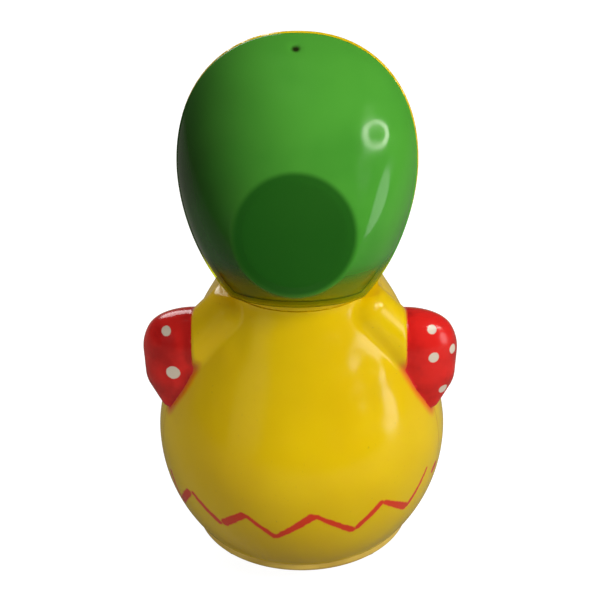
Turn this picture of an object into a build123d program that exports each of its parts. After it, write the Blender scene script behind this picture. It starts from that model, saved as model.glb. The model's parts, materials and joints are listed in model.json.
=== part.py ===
from build123d import *
from math import atan2, cos, degrees, hypot, pi, radians, sin, sqrt
import os

# Wind-up hopping chick in a bonnet, about 115 mm tall. Millimetres.
# The toy stands on z = 0, faces -Y, its own left side is +X, and the body axis is the Z axis.

# ---- Moulded body ----
WALL = 1.4
EQUATOR_R = 29.2
EQUATOR_Z = 27.0
SHELL_BOTTOM_Z = 7.4
SHELL_BOTTOM_R = 22.3
FLANK_R = 25.9
FLANK_Z = 41.0
SHOULDER_R = 19.8
SHOULDER_Z = 55.0
NECK_R = 16.0
NECK_Z = 63.4
SEAM_Y = 4.5
SEAM_Z = 50.0
SEAM_TILT = 10.0

# ---- Arms and wings, mirrored about x = 0 ----
ARM_SHOULDER = (12.6, 4.0, 56.9)
ARM_WRIST = (20.8, 5.0, 51.4)
ARM_R = 5.5
WING_CENTRE = (24.6, 5.0, 47.2)
WING_SEMI = (6.7, 8.5, 10.3)

# ---- Base plate ----
BASE_BOTTOM_Z = 5.2
BASE_FLOOR_Z = 6.6
BASE_R = 22.0
BASE_SPIGOT_R = 20.4
BASE_POCKET_R = 19.4
BASE_SPIGOT_TOP_Z = 8.6
BOSS_R = 2.1
BOSS_TOP_Z = 15.0
FRONT_BOSS = (14.9, -13.0)
REAR_BOSS = (13.4, 14.6)
RIB_T = 1.6

# ---- Screws ----
SCREW_R = 0.9
SCREW_HEAD_R = 1.7
SCREW_HEAD_H = 0.8
SCREW_CLEARANCE = 0.1
SUNK_HEAD_Z = BASE_BOTTOM_Z + SCREW_HEAD_H

# ---- Head: a plane through the bonnet's brim, leaning forward at the top ----
BRIM_TILT = 18.0
BRIM_CENTRE_Y = 7.6
BRIM_CENTRE_Z = 92.1
BRIM_A = 22.8
BRIM_B = 26.3
BRIM_W = -2.3
BONNET_WALL = 1.2
CROWN_R = 11.3
CROWN_N = 15.2
CROWN_W = -11.4
CROWN_TILT = 13.0
CROWN_STEP = 0.7
FACE_FLANGE_PROUD = 0.5
FACE_FLANGE_T = 1.2
FACE_CENTRE = (0.0, 4.0, 91.2)
FACE_R = 21.4
FACE_WALL = 1.3
HEAD_NECK_TOP_R = 12.8
HEAD_NECK_TOP_Z = 80.0
SPIGOT_BOTTOM_Z = 58.0
FIT_GAP = 0.05
EYE_R = 2.4
EYE_X = 8.2
EYE_Z = 94.0
BEAK_Z = 87.4
BEAK_R = 3.9
BEAK_TIP_R = 0.8
BEAK_LENGTH = 7.5
PEG_GAP = 0.03
EYE_PEG_R = 0.8
BEAK_PEG_R = 1.6

# ---- Clockwork: arbors lie along X; each place is (y, z) ----
MODULE = 0.5
PRESSURE_ANGLE = 25.0
ADDENDUM = 0.7
DEDENDUM = 0.95
BACKLASH = 0.08
GREAT_TEETH = 40
SECOND_TEETH = 30
THIRD_TEETH = 28
SECOND_PINION_TEETH = 10
THIRD_PINION_TEETH = 10
CRANK_PINION_TEETH = 8
WINDING_AT = (-14.0, 18.2)
SECOND_ANGLE = 22.0
THIRD_ANGLE = -28.0
CRANK_ANGLE = -140.0
WINDING_ARBOR_R = 1.5
ARBOR_R = 0.6
RUNNING_GAP = 0.03
PRESS_GAP = 0.01
PLATE_INNER_X = 6.6
PLATE_T = 0.8
PLATE_OUTER_X = PLATE_INNER_X + PLATE_T
ARBOR_END_X = 7.9
GREAT_X = (-1.2, -0.2)
RATCHET_X = (-2.6, -1.6)
SPRING_X = (1.0, 6.0)
SECOND_PINION_X = (-1.7, 0.3)
SECOND_WHEEL_X = (-4.6, -3.8)
THIRD_PINION_X = (-5.2, -3.2)
THIRD_WHEEL_X = (2.0, 2.8)
CRANK_PINION_X = (1.4, 3.4)
CRANK_DISC_X = (-8.6, -7.8)
CRANK_DISC_R = 2.8
CRANK_THROW = 1.2
CRANK_PIN_R = 0.7
CRANK_PIN_END_X = -10.8
PILLAR_R = 1.2
RIVET_R = 0.7

# ---- Ratchet and click, on the great wheel ----
RATCHET_TEETH = 12
RATCHET_R = 4.15
RATCHET_ROOT_R = 3.4
CLICK_ANGLE = 150.0
CLICK_PIVOT = (4.667, 4.667)
CLICK_EYE_R = 0.95
CLICK_STUD_R = 0.5
CLICK_WIRE_R = 0.14

# ---- Mainspring ribbon ----
RIBBON_T = 0.35
RIBBON_STEP = 0.5
RIBBON_HALF_TURNS = 15
RIBBON_INNER_R = WINDING_ARBOR_R + 0.05 + RIBBON_T / 2
RIBBON_OUTER_R = RIBBON_INNER_R + (RIBBON_HALF_TURNS - 1) * RIBBON_STEP
HOOK_GAP = 0.02
RIBBON_HOOK_R = PILLAR_R + HOOK_GAP + RIBBON_T / 2
SPRING_PILLAR = (WINDING_AT[0] + RIBBON_OUTER_R - RIBBON_HOOK_R, 8.6)
PILLAR_PLACES = (SPRING_PILLAR, (-19.6, 30.2), (11.5, 29.0), (13.5, 9.0))

# ---- Key on the left flank ----
BUSH_R = 2.6
BUSH_X = (22.4, 26.2)
KEY_X = (26.6, 29.9)
KEY_HUB_R = 2.2
KEY_BLADE_REACH = 5.4
KEY_BLADE_T = 1.8

# ---- Foot lever ----
LEVER_PIVOT = (9.5, 9.8)
LEVER_SWING = 12.0
LEVER_PIN_R = 0.8
LEVER_ARM_X = (9.0, 10.2)
LEVER_PIN_END_X = 10.6
LEVER_PIN_HEAD_R = 1.5
LEVER_EYE_R = 2.0
WINDOW_GAP = 0.12
WINDOW_FRAME = 1.3
ARM_FRONT_Y = -4.0
ARM_REAR_Y = 3.2
FOOT_PLATE_Z = (2.2, 3.0)
FOOT_PLATE_Y = (-14.0, 4.0)
SLOT_X = (8.6, 10.6)
SLOT_Y = (-4.7, 4.9)
EAR_HOLE = (-4.6, 11.7)
EAR_HOLE_R = 0.6
HOOK_R = 1.1
WIRE_R = 0.22
COIL_R = 1.25
COIL_PITCH = 0.62
SPRING_POST_Z = 27.0
SPRING_POST_R = 0.6
SPRING_POST_END_X = 10.6

# ---- Feet ----
FOOT_X = 9.6
FOOT_RIVET_X = 8.2
FOOT_RIVET_Y = (-12.0, -6.0)
FOOT_RECESS_R = 1.35
FOOT_PAD_SEMI = (5.2, 11.0)
FOOT_PAD_Y = -8.5
TOE_ROOT_Y = -10.0
TOE_TIP_Y = -31.8
TOE_R = 2.0
TOE_SPREAD = 22.0
SIDE_TOE_LENGTH = 17.0
HEEL_TIP_Y = 7.0


def polar(place, radius, angle):
    """The point at a radius and an angle in degrees from a (y, z) place."""
    return (place[0] + radius * cos(radians(angle)), place[1] + radius * sin(radians(angle)))


SECOND_AT = polar(WINDING_AT, MODULE * (GREAT_TEETH + SECOND_PINION_TEETH) / 2, SECOND_ANGLE)
THIRD_AT = polar(SECOND_AT, MODULE * (SECOND_TEETH + THIRD_PINION_TEETH) / 2, THIRD_ANGLE)
CRANK_AT = polar(THIRD_AT, MODULE * (THIRD_TEETH + CRANK_PINION_TEETH) / 2, CRANK_ANGLE)
WORLD_CUT = 200.0


# ---- Helpers ----
def along_x(place, radius, x_from, x_to):
    """A solid cylinder whose axis runs along X at a (y, z) place."""
    disc = Plane.YZ.offset(x_from) * Pos(place[0], place[1]) * Circle(radius)
    return extrude(disc, x_to - x_from)


def plate_along_x(sketch, x_from, x_to):
    """A flat sketch drawn in (y, z), made into a plate between two x values."""
    return extrude(Plane.YZ.offset(x_from) * sketch, x_to - x_from)


def ellipsoid(centre, semi):
    """An ellipsoid with its semi-axes along X, Y and Z."""
    return Pos(*centre) * scale(Sphere(1), by=semi)


def capsule(start, end, radius):
    """A round-ended rod between two points."""
    axis = Vector(*end) - Vector(*start)
    rod = Plane(origin=start, z_dir=axis) * Cylinder(
        radius, axis.length, align=(Align.CENTER, Align.CENTER, Align.MIN))
    return rod + Pos(*start) * Sphere(radius) + Pos(*end) * Sphere(radius)


def both_sides(shape):
    """A shape and its mirror image across the toy's middle plane."""
    return shape + mirror(shape, about=Plane.YZ)


def screw(place, head_z, tip_z):
    """A pan-head screw driven upwards at an (x, y) place, with its head under head_z."""
    shank = Pos(place[0], place[1], head_z) * Cylinder(
        SCREW_R, tip_z - head_z, align=(Align.CENTER, Align.CENTER, Align.MIN))
    head = Pos(place[0], place[1], head_z) * Cylinder(
        SCREW_HEAD_R, SCREW_HEAD_H, align=(Align.CENTER, Align.CENTER, Align.MAX))
    slot = Pos(place[0], place[1], head_z - SCREW_HEAD_H) * Box(2 * SCREW_HEAD_R, 0.4, 0.7)
    return shank + head - slot


def involute_angle(radius, base_r):
    """The involute's polar angle in radians, from its start on the base circle to a radius."""
    roll = sqrt(max((radius / base_r) ** 2 - 1, 0))
    return roll - atan2(roll, 1)


def gear(place, teeth, x_from, x_to, bore_r, phase):
    """A spur gear along X; one tooth is centred at the phase angle in degrees."""
    pitch_r = MODULE * teeth / 2
    base_r = pitch_r * cos(radians(PRESSURE_ANGLE))
    tip_r = pitch_r + ADDENDUM * MODULE
    root_r = pitch_r - DEDENDUM * MODULE
    start_r = max(base_r, root_r)
    half_tooth = pi / (2 * teeth) - BACKLASH / (4 * pitch_r)
    half_at_base = half_tooth + involute_angle(pitch_r, base_r)
    flank_radii = [start_r + (tip_r - start_r) * step / 3 for step in range(4)]
    edges = []
    for tooth in range(teeth):
        middle = radians(phase) + 2 * pi * tooth / teeth

        def point(radius, offset):
            angle = middle + offset
            return (place[0] + radius * cos(angle), place[1] + radius * sin(angle))

        rising = [point(r, -half_at_base + involute_angle(r, base_r)) for r in flank_radii]
        falling = [point(r, half_at_base - involute_angle(r, base_r)) for r in reversed(flank_radii)]
        foot_half = half_at_base - involute_angle(start_r, base_r)
        foot_in = point(root_r, -foot_half)
        foot_out = point(root_r, foot_half)
        next_foot = point(root_r, 2 * pi / teeth - foot_half)
        if start_r > root_r + 0.001:
            edges.append(Line(foot_in, rising[0]))
        edges.append(Spline(*rising))
        edges.append(Line(rising[-1], falling[0]))
        edges.append(Spline(*falling))
        if start_r > root_r + 0.001:
            edges.append(Line(falling[-1], foot_out))
        edges.append(Line(foot_out, next_foot))
    outline = make_face(Wire(edges))
    blank = plate_along_x(outline, x_from, x_to)
    return blank - along_x(place, bore_r, x_from - 1, x_to + 1)


def lightened(wheel, place, teeth, x_from, x_to, hub_r, holes=5):
    """A wheel with a ring of round holes between hub and rim."""
    rim_r = MODULE * teeth / 2 - 1.6
    hole_r = (rim_r - hub_r) / 2 - 0.2
    for index in range(holes):
        at = polar(place, (rim_r + hub_r) / 2, 360 * index / holes)
        wheel = wheel - along_x(at, hole_r, x_from - 1, x_to + 1)
    return wheel


def mesh_phase(driver_at, driver_teeth, driver_phase, driven_at, driven_teeth):
    """The phase in degrees that puts a driven gear's tooth gap on a driver's tooth."""
    line = degrees(atan2(driven_at[1] - driver_at[1], driven_at[0] - driver_at[0]))
    driver_pitch = 360 / driver_teeth
    offset = ((line - driver_phase) / driver_pitch) % 1
    return line + 180 + (offset + 0.5) * 360 / driven_teeth


# ---- Body shells ----
def body_of_revolution(inset):
    """The egg-shaped body about Z, closed top and bottom, its wall drawn in by inset."""
    low = SHELL_BOTTOM_Z - (0 if inset == 0 else 1)
    high = NECK_Z + (0 if inset == 0 else 1)
    bottom = (SHELL_BOTTOM_R - inset, low)
    top = (NECK_R - inset, high)
    side = Spline(bottom, (EQUATOR_R - inset, EQUATOR_Z), (FLANK_R - inset, FLANK_Z),
                  (SHOULDER_R - inset, SHOULDER_Z), top, tangents=((0.75, 1), (-0.12, 1)))
    closing = Polyline(top, (0, high), (0, low), bottom)
    profile = make_face(Plane.XZ * (side + closing))
    return revolve(profile, Axis.Z)


def arms_and_wings(inset):
    """Both arms and both wings as solids, drawn in by inset."""
    arm = capsule(ARM_SHOULDER, ARM_WRIST, ARM_R - inset)
    wing = ellipsoid(WING_CENTRE, tuple(s - inset for s in WING_SEMI))
    return arm, wing


def screw_boss(place):
    """A post for a base screw, joined to the shell's wall by a rib."""
    height = BOSS_TOP_Z - BASE_SPIGOT_TOP_Z
    post = Pos(place[0], place[1], BASE_SPIGOT_TOP_Z) * Cylinder(
        BOSS_R, height, align=(Align.CENTER, Align.CENTER, Align.MIN))
    outward = degrees(atan2(place[1], place[0]))
    rib = Pos(place[0], place[1], BASE_SPIGOT_TOP_Z) * Rot(0, 0, outward) * Box(
        EQUATOR_R - hypot(*place) - 1, RIB_T, height, align=(Align.MIN, Align.CENTER, Align.MIN))
    return post + rib


def body_shells():
    """The front and back shells, parted on a plane that leans back towards the base."""
    outer_arm, outer_wing = arms_and_wings(0)
    inner_arm, inner_wing = arms_and_wings(WALL)
    outer = body_of_revolution(0) + both_sides(outer_arm) + both_sides(outer_wing)
    cavity = body_of_revolution(WALL) + both_sides(inner_arm) + both_sides(inner_wing)
    bosses = both_sides(screw_boss(FRONT_BOSS)) + both_sides(screw_boss(REAR_BOSS))
    shell = (outer - cavity) + (bosses & body_of_revolution(WALL / 2))
    for x, y in (FRONT_BOSS, REAR_BOSS):
        for side in (1, -1):
            shell = shell - Pos(side * x, y, BASE_FLOOR_Z) * Cylinder(
                SCREW_R + PRESS_GAP, 13.0, align=(Align.CENTER, Align.CENTER, Align.MIN))
    shell = shell - along_x(WINDING_AT, BUSH_R + PRESS_GAP, 15, 35)
    seam = Plane(origin=(0, SEAM_Y, SEAM_Z), x_dir=(1, 0, 0),
                 z_dir=(0, cos(radians(SEAM_TILT)), sin(radians(SEAM_TILT))))
    front = split(shell, bisect_by=seam, keep=Keep.BOTTOM)
    back = split(shell, bisect_by=seam, keep=Keep.TOP)
    return front, back


# ---- Base ----
def base_plate():
    """A round tray with a rolled rim, a locating spigot and slots for the foot lever."""
    rim_h = SHELL_BOTTOM_Z - BASE_BOTTOM_Z
    rim = Pos(0, 0, BASE_BOTTOM_Z) * Cylinder(
        BASE_R, rim_h, align=(Align.CENTER, Align.CENTER, Align.MIN))
    rim = fillet(rim.edges().group_by(Axis.Z)[0], 1.0)
    spigot = Pos(0, 0, BASE_FLOOR_Z) * Cylinder(
        BASE_SPIGOT_R, BASE_SPIGOT_TOP_Z - BASE_FLOOR_Z, align=(Align.CENTER, Align.CENTER, Align.MIN))
    pocket = Pos(0, 0, BASE_FLOOR_Z) * Cylinder(
        BASE_POCKET_R, 5, align=(Align.CENTER, Align.CENTER, Align.MIN))
    pads = None
    for x, y in (FRONT_BOSS, REAR_BOSS):
        pad = Pos(x, y, BASE_FLOOR_Z) * Cylinder(
            BOSS_R, BASE_SPIGOT_TOP_Z - BASE_FLOOR_Z, align=(Align.CENTER, Align.CENTER, Align.MIN))
        pads = both_sides(pad) if pads is None else pads + both_sides(pad)
    spigot_bar = Pos(0, 0, BASE_FLOOR_Z) * Cylinder(
        BASE_SPIGOT_R, 5, align=(Align.CENTER, Align.CENTER, Align.MIN))
    plate = rim + spigot - pocket + (pads & spigot_bar)
    slot = Pos((SLOT_X[0] + SLOT_X[1]) / 2, (SLOT_Y[0] + SLOT_Y[1]) / 2, BASE_FLOOR_Z) * Box(
        SLOT_X[1] - SLOT_X[0], SLOT_Y[1] - SLOT_Y[0], 6)
    plate = plate - both_sides(slot)
    for x, y in (FRONT_BOSS, REAR_BOSS) + TAB_HOLES:
        for side in (1, -1):
            plate = plate - Pos(side * x, y, 0) * Cylinder(
                SCREW_R + SCREW_CLEARANCE, 40, align=(Align.CENTER, Align.CENTER, Align.CENTER))
    for x, y in (FRONT_BOSS, REAR_BOSS):
        for side in (1, -1):
            plate = plate - Pos(side * x, y, SUNK_HEAD_Z) * Cylinder(
                SCREW_HEAD_R + SCREW_CLEARANCE, 5, align=(Align.CENTER, Align.CENTER, Align.MAX))
    return plate


def base_screws():
    """Four screws up through the base plate into the shell bosses, their heads sunk flush."""
    screws = [screw((side * x, y), SUNK_HEAD_Z, BOSS_TOP_Z - 1.5)
              for x, y in (FRONT_BOSS, REAR_BOSS) for side in (1, -1)]
    return Compound(children=screws)


# ---- Head ----
BRIM = Plane(origin=(0, BRIM_CENTRE_Y, BRIM_CENTRE_Z), x_dir=(1, 0, 0),
             z_dir=(0, cos(radians(BRIM_TILT)), sin(radians(BRIM_TILT))))
# On the brim plane local x is +X, local y runs down the head, and local z points back.
UP = -1


def brim_section(n, w, a, b, tilt):
    """An ellipse parallel to the brim, n behind it, centred at height w, leaning by tilt."""
    return BRIM * Pos(0, UP * w, n) * Rot(tilt, 0, 0) * Ellipse(a, b)


def bonnet_solid(inset, start_n):
    """The bonnet's outside, from the egg-shaped brim to the crown, drawn in by inset."""
    sections = [
        brim_section(start_n, BRIM_W, BRIM_A - inset, BRIM_B - inset, 0),
        brim_section(7.4, -4.8, 20.9 - inset, 23.0 - inset, 4),
        brim_section(12.3 - inset / 2, -8.7, 16.5 - inset, 17.4 - inset, 9),
        brim_section(CROWN_N - inset, CROWN_W, CROWN_R + 0.5 - inset, CROWN_R + 0.6 - inset, CROWN_TILT),
    ]
    return loft(sections)


def bonnet():
    """A thin green cup: flared brim, domed wall and a raised flat crown disc."""
    crown_base = BRIM * Pos(0, UP * CROWN_W, CROWN_N) * Rot(CROWN_TILT, 0, 0)
    crown = crown_base * Pos(0, 0, -0.5) * Cylinder(
        CROWN_R, CROWN_STEP + 0.5, align=(Align.CENTER, Align.CENTER, Align.MIN))
    crown = fillet(crown.edges().filter_by(GeomType.CIRCLE).sort_by(
        lambda edge: edge.center().Y)[-1], 0.5)
    cup = bonnet_solid(0, 0) + crown
    return cup - bonnet_solid(BONNET_WALL, -0.01)


def face_outer(inset=0.0):
    """The round head's full outside, drawn in by inset."""
    return Pos(*FACE_CENTRE) * Sphere(FACE_R - inset)


def on_face(x, z):
    """A plane on the front of the head at (x, z), with its own z pointing out of the face."""
    across = (x - FACE_CENTRE[0]) / FACE_R
    up = (z - FACE_CENTRE[2]) / FACE_R
    out = -sqrt(1 - across ** 2 - up ** 2)
    origin = (x, FACE_CENTRE[1] + FACE_R * out, z)
    return Plane(origin=origin, z_dir=(across, out, up))


def neck_profile(inset):
    """The head's neck, from the body's top rim up into the dome, drawn in by inset."""
    low = NECK_Z + FIT_GAP if inset == 0 else SPIGOT_BOTTOM_Z - 1
    side = Polyline((NECK_R - inset, low), (HEAD_NECK_TOP_R - inset, HEAD_NECK_TOP_Z),
                    (0, HEAD_NECK_TOP_Z), (0, low), (NECK_R - inset, low))
    return revolve(make_face(Plane.XZ * side), Axis.Z)


def face_shell():
    """The yellow head front: a dome with a rim flange, a neck and a spigot into the body."""
    dome = face_outer()
    hollow = face_outer(FACE_WALL)
    flange = extrude(brim_section(-FACE_FLANGE_T, BRIM_W, BRIM_A + FACE_FLANGE_PROUD,
                                  BRIM_B + FACE_FLANGE_PROUD, 0), FACE_FLANGE_T)
    behind = BRIM * Box(WORLD_CUT, WORLD_CUT, WORLD_CUT, align=(Align.CENTER, Align.CENTER, Align.MIN))
    below = Pos(0, 0, NECK_Z + FIT_GAP) * Box(
        WORLD_CUT, WORLD_CUT, WORLD_CUT, align=(Align.CENTER, Align.CENTER, Align.MAX))
    inner_neck_r = NECK_R - WALL - FIT_GAP
    spigot = Pos(0, 0, SPIGOT_BOTTOM_Z) * Cylinder(
        inner_neck_r, NECK_Z + 1 - SPIGOT_BOTTOM_Z, align=(Align.CENTER, Align.CENTER, Align.MIN))
    head = dome + flange + neck_profile(0) - behind - below + spigot
    head = head - hollow - neck_profile(WALL + FACE_WALL)
    for side in (1, -1):
        hole = on_face(side * EYE_X, EYE_Z) * Cylinder(EYE_PEG_R + PEG_GAP, 8)
        head = head - hole
    return head - on_face(0, BEAK_Z) * Cylinder(BEAK_PEG_R + PEG_GAP, 8)


def eyes():
    """Two button eyes pegged through the face."""
    pair = []
    for side in (1, -1):
        seat = on_face(side * EYE_X, EYE_Z)
        button = seat * Sphere(EYE_R) - face_outer()
        peg = seat * Pos(0, 0, -2.6) * Cylinder(
            EYE_PEG_R, 4, align=(Align.CENTER, Align.CENTER, Align.MIN))
        pair.append(button + peg)
    return Compound(children=pair)


def beak():
    """A short blunt beak pegged into the face."""
    seat = on_face(0, BEAK_Z)
    cone = seat * Pos(0, 0, -2) * Cone(
        BEAK_R, BEAK_TIP_R, BEAK_LENGTH + 2, align=(Align.CENTER, Align.CENTER, Align.MIN))
    peg = seat * Pos(0, 0, -2.8) * Cylinder(
        BEAK_PEG_R, 4, align=(Align.CENTER, Align.CENTER, Align.MIN))
    return cone - face_outer() + peg


# ---- Motor frame ----
TAB_HOLES = ((9.4, -13.5), (9.4, 12.0))
TAB_DEPTH = 4.0


def frame_plate(side):
    """One steel side plate with bearing holes and two feet turned out onto the base."""
    floor = BASE_FLOOR_Z + PRESS_GAP
    outline = make_face(Polyline((-16.5, floor), (15.2, floor), (16.2, 10), (14.0, 31.5),
                                 (-21.5, 32.5), (-22.2, 27), (-22.0, 13.5), (-16.5, floor)))
    x_from = min(side * PLATE_INNER_X, side * PLATE_OUTER_X)
    plate = plate_along_x(outline, x_from, x_from + PLATE_T)
    holes = [(WINDING_AT, WINDING_ARBOR_R + RUNNING_GAP), (LEVER_PIVOT, LEVER_PIN_R + PRESS_GAP)]
    holes += [(place, ARBOR_R + RUNNING_GAP) for place in (SECOND_AT, THIRD_AT, CRANK_AT)]
    holes += [(place, RIVET_R + PRESS_GAP) for place in PILLAR_PLACES]
    for x, y in TAB_HOLES:
        tab = Pos(side * PLATE_OUTER_X, y, floor) * Box(
            3.6, TAB_DEPTH, PLATE_T,
            align=(Align.MIN if side > 0 else Align.MAX, Align.CENTER, Align.MIN))
        plate = plate + tab - Pos(side * x, y, floor) * Cylinder(SCREW_R + PRESS_GAP, 3)
    if side > 0:
        holes.append(((EAR_HOLE[0], SPRING_POST_Z), SPRING_POST_R + PRESS_GAP))
    for place, radius in holes:
        plate = plate - along_x(place, radius, -12, 12)
    return plate


def frame_pillars():
    """Four pillars that hold the plates apart, with riveted ends."""
    pillars = [along_x(place, PILLAR_R, -PLATE_INNER_X + PRESS_GAP, PLATE_INNER_X - PRESS_GAP)
               + along_x(place, RIVET_R, -ARBOR_END_X, ARBOR_END_X) for place in PILLAR_PLACES]
    return Compound(children=pillars)


def motor_screws():
    """Four screws that hold the motor's feet down on the base plate."""
    screws = [screw((side * x, y), BASE_BOTTOM_Z, BASE_FLOOR_Z + PLATE_T + 1.0)
              for x, y in TAB_HOLES for side in (1, -1)]
    return Compound(children=screws)


def foot_pivot_pin():
    """The long pin that the foot lever swings on, headed at both ends."""
    pin = along_x(LEVER_PIVOT, LEVER_PIN_R, -LEVER_PIN_END_X, LEVER_PIN_END_X)
    for x_from in (-LEVER_PIN_END_X - 0.6, LEVER_PIN_END_X):
        pin = pin + along_x(LEVER_PIVOT, LEVER_PIN_HEAD_R, x_from, x_from + 0.6)
    return pin


def spring_post():
    """A stud on the left plate that the return spring hangs from."""
    place = (EAR_HOLE[0], SPRING_POST_Z)
    post = along_x(place, SPRING_POST_R, PLATE_INNER_X, SPRING_POST_END_X + 0.5)
    return post + along_x(place, SPRING_POST_R + 0.5, SPRING_POST_END_X + 0.5, SPRING_POST_END_X + 1.1)


# ---- Winding side ----
def winding_arbor():
    """The winding arbor, through both plates and out through the left flank."""
    return along_x(WINDING_AT, WINDING_ARBOR_R, -ARBOR_END_X, KEY_X[1] - 0.6)


def ratchet_wheel():
    """A saw-toothed wheel on the winding arbor; its steep faces push the click."""
    points = []
    pitch = 360 / RATCHET_TEETH
    for tooth in range(RATCHET_TEETH):
        face_angle = CLICK_ANGLE + tooth * pitch
        points.append(polar(WINDING_AT, RATCHET_R, face_angle))
        points.append(polar(WINDING_AT, RATCHET_ROOT_R, face_angle))
    outline = make_face(Polyline(*points, close=True))
    wheel = plate_along_x(outline, *RATCHET_X)
    return wheel - along_x(WINDING_AT, WINDING_ARBOR_R + PRESS_GAP, RATCHET_X[0] - 1, RATCHET_X[1] + 1)


def click_point(radial, across):
    """A (y, z) point given along the click's own radial line and square to it."""
    distance = hypot(radial, across)
    return polar(WINDING_AT, distance, CLICK_ANGLE + degrees(atan2(across, radial)))


def click():
    """The pawl that the ratchet drives, swinging on a stud on the great wheel."""
    blade = make_face(Polyline(click_point(3.52, 0.1), click_point(4.3, 0.1), click_point(5.5, 4.4),
                               click_point(3.9, 4.3), close=True))
    pivot = click_point(*CLICK_PIVOT)
    shape = plate_along_x(blade, *RATCHET_X) + along_x(pivot, CLICK_EYE_R, *RATCHET_X)
    return shape - along_x(pivot, CLICK_STUD_R + RUNNING_GAP, RATCHET_X[0] - 1, RATCHET_X[1] + 1)


def click_stud():
    """The click's stud, riveted into the great wheel, with a head over the spring."""
    pivot = click_point(*CLICK_PIVOT)
    return along_x(pivot, CLICK_STUD_R, -3.66, GREAT_X[1]) + along_x(pivot, 0.95, -3.72, -3.5)


def click_spring():
    """A wire coil round the stud whose leg presses on the click's back."""
    pivot = click_point(*CLICK_PIVOT)
    coil_r = CLICK_STUD_R + 0.3
    coil = Plane.YZ.offset(-2.9) * Pos(*pivot) * Torus(coil_r, CLICK_WIRE_R)
    coil = coil + Plane.YZ.offset(-3.15) * Pos(*pivot) * Torus(coil_r, CLICK_WIRE_R)
    leg_start = click_point(CLICK_PIVOT[0] + coil_r, CLICK_PIVOT[1])
    leg_end = click_point(4.9, 0.9)
    return coil + capsule((-2.9, *leg_start), (-2.9, *leg_end), CLICK_WIRE_R)


def mainspring():
    """A ribbon of half turns, each a little wider, its tail hooked round the lower front pillar."""
    shape = None
    for turn in range(RIBBON_HALF_TURNS):
        above = turn % 2 == 0
        radius = RIBBON_INNER_R + turn * RIBBON_STEP
        centre = Pos(WINDING_AT[0] - (0 if above else RIBBON_STEP), WINDING_AT[1])
        ring = Circle(radius + RIBBON_T / 2) - Circle(radius - RIBBON_T / 2)
        half_plane = Rectangle(40, 20, align=(Align.CENTER, Align.MIN if above else Align.MAX))
        arc = centre * (ring & half_plane)
        shape = arc if shape is None else shape + arc
    tail_y = WINDING_AT[0] + RIBBON_OUTER_R
    tail = Pos(tail_y, SPRING_PILLAR[1]) * Rectangle(
        RIBBON_T, WINDING_AT[1] - SPRING_PILLAR[1], align=(Align.CENTER, Align.MIN))
    hook = Circle(RIBBON_HOOK_R + RIBBON_T / 2) - Circle(RIBBON_HOOK_R - RIBBON_T / 2)
    below = Rectangle(10, 5, align=(Align.CENTER, Align.MAX))
    shape = shape + tail + Pos(*SPRING_PILLAR) * (hook & below)
    return plate_along_x(shape, *SPRING_X)


def key_bush():
    """A collar in the shell's wall that carries the winding arbor."""
    bush = along_x(WINDING_AT, BUSH_R, *BUSH_X)
    return bush - along_x(WINDING_AT, WINDING_ARBOR_R + FIT_GAP, BUSH_X[0] - 1, BUSH_X[1] + 1)


def winding_key():
    """A low butterfly key pressed on the arbor's end."""
    hub = along_x(WINDING_AT, KEY_HUB_R, KEY_X[0], KEY_X[1])
    middle_x = (KEY_X[0] + KEY_X[1] + 0.6) / 2
    half_w = KEY_X[1] - middle_x
    blade = Pos(middle_x, WINDING_AT[0], WINDING_AT[1]) * Rot(90, 0, 0) * extrude(
        SlotOverall(2 * KEY_BLADE_REACH, 2 * half_w, rotation=90), KEY_BLADE_T / 2, both=True)
    key = hub + blade
    return key - along_x(WINDING_AT, WINDING_ARBOR_R + PRESS_GAP, KEY_X[0] - 1, KEY_X[1] - 0.6 + PRESS_GAP)


# ---- Wheel train ----
GREAT_PHASE = 0.0
SECOND_PINION_PHASE = mesh_phase(WINDING_AT, GREAT_TEETH, GREAT_PHASE, SECOND_AT, SECOND_PINION_TEETH)
SECOND_PHASE = 0.0
THIRD_PINION_PHASE = mesh_phase(SECOND_AT, SECOND_TEETH, SECOND_PHASE, THIRD_AT, THIRD_PINION_TEETH)
THIRD_PHASE = 0.0
CRANK_PINION_PHASE = mesh_phase(THIRD_AT, THIRD_TEETH, THIRD_PHASE, CRANK_AT, CRANK_PINION_TEETH)


def great_wheel():
    """The great wheel, free on the winding arbor, with a hole for the click's stud."""
    wheel = gear(WINDING_AT, GREAT_TEETH, *GREAT_X, WINDING_ARBOR_R + RUNNING_GAP, GREAT_PHASE)
    stud_hole = along_x(click_point(*CLICK_PIVOT), CLICK_STUD_R + PRESS_GAP, -3, 3)
    return wheel - stud_hole


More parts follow.
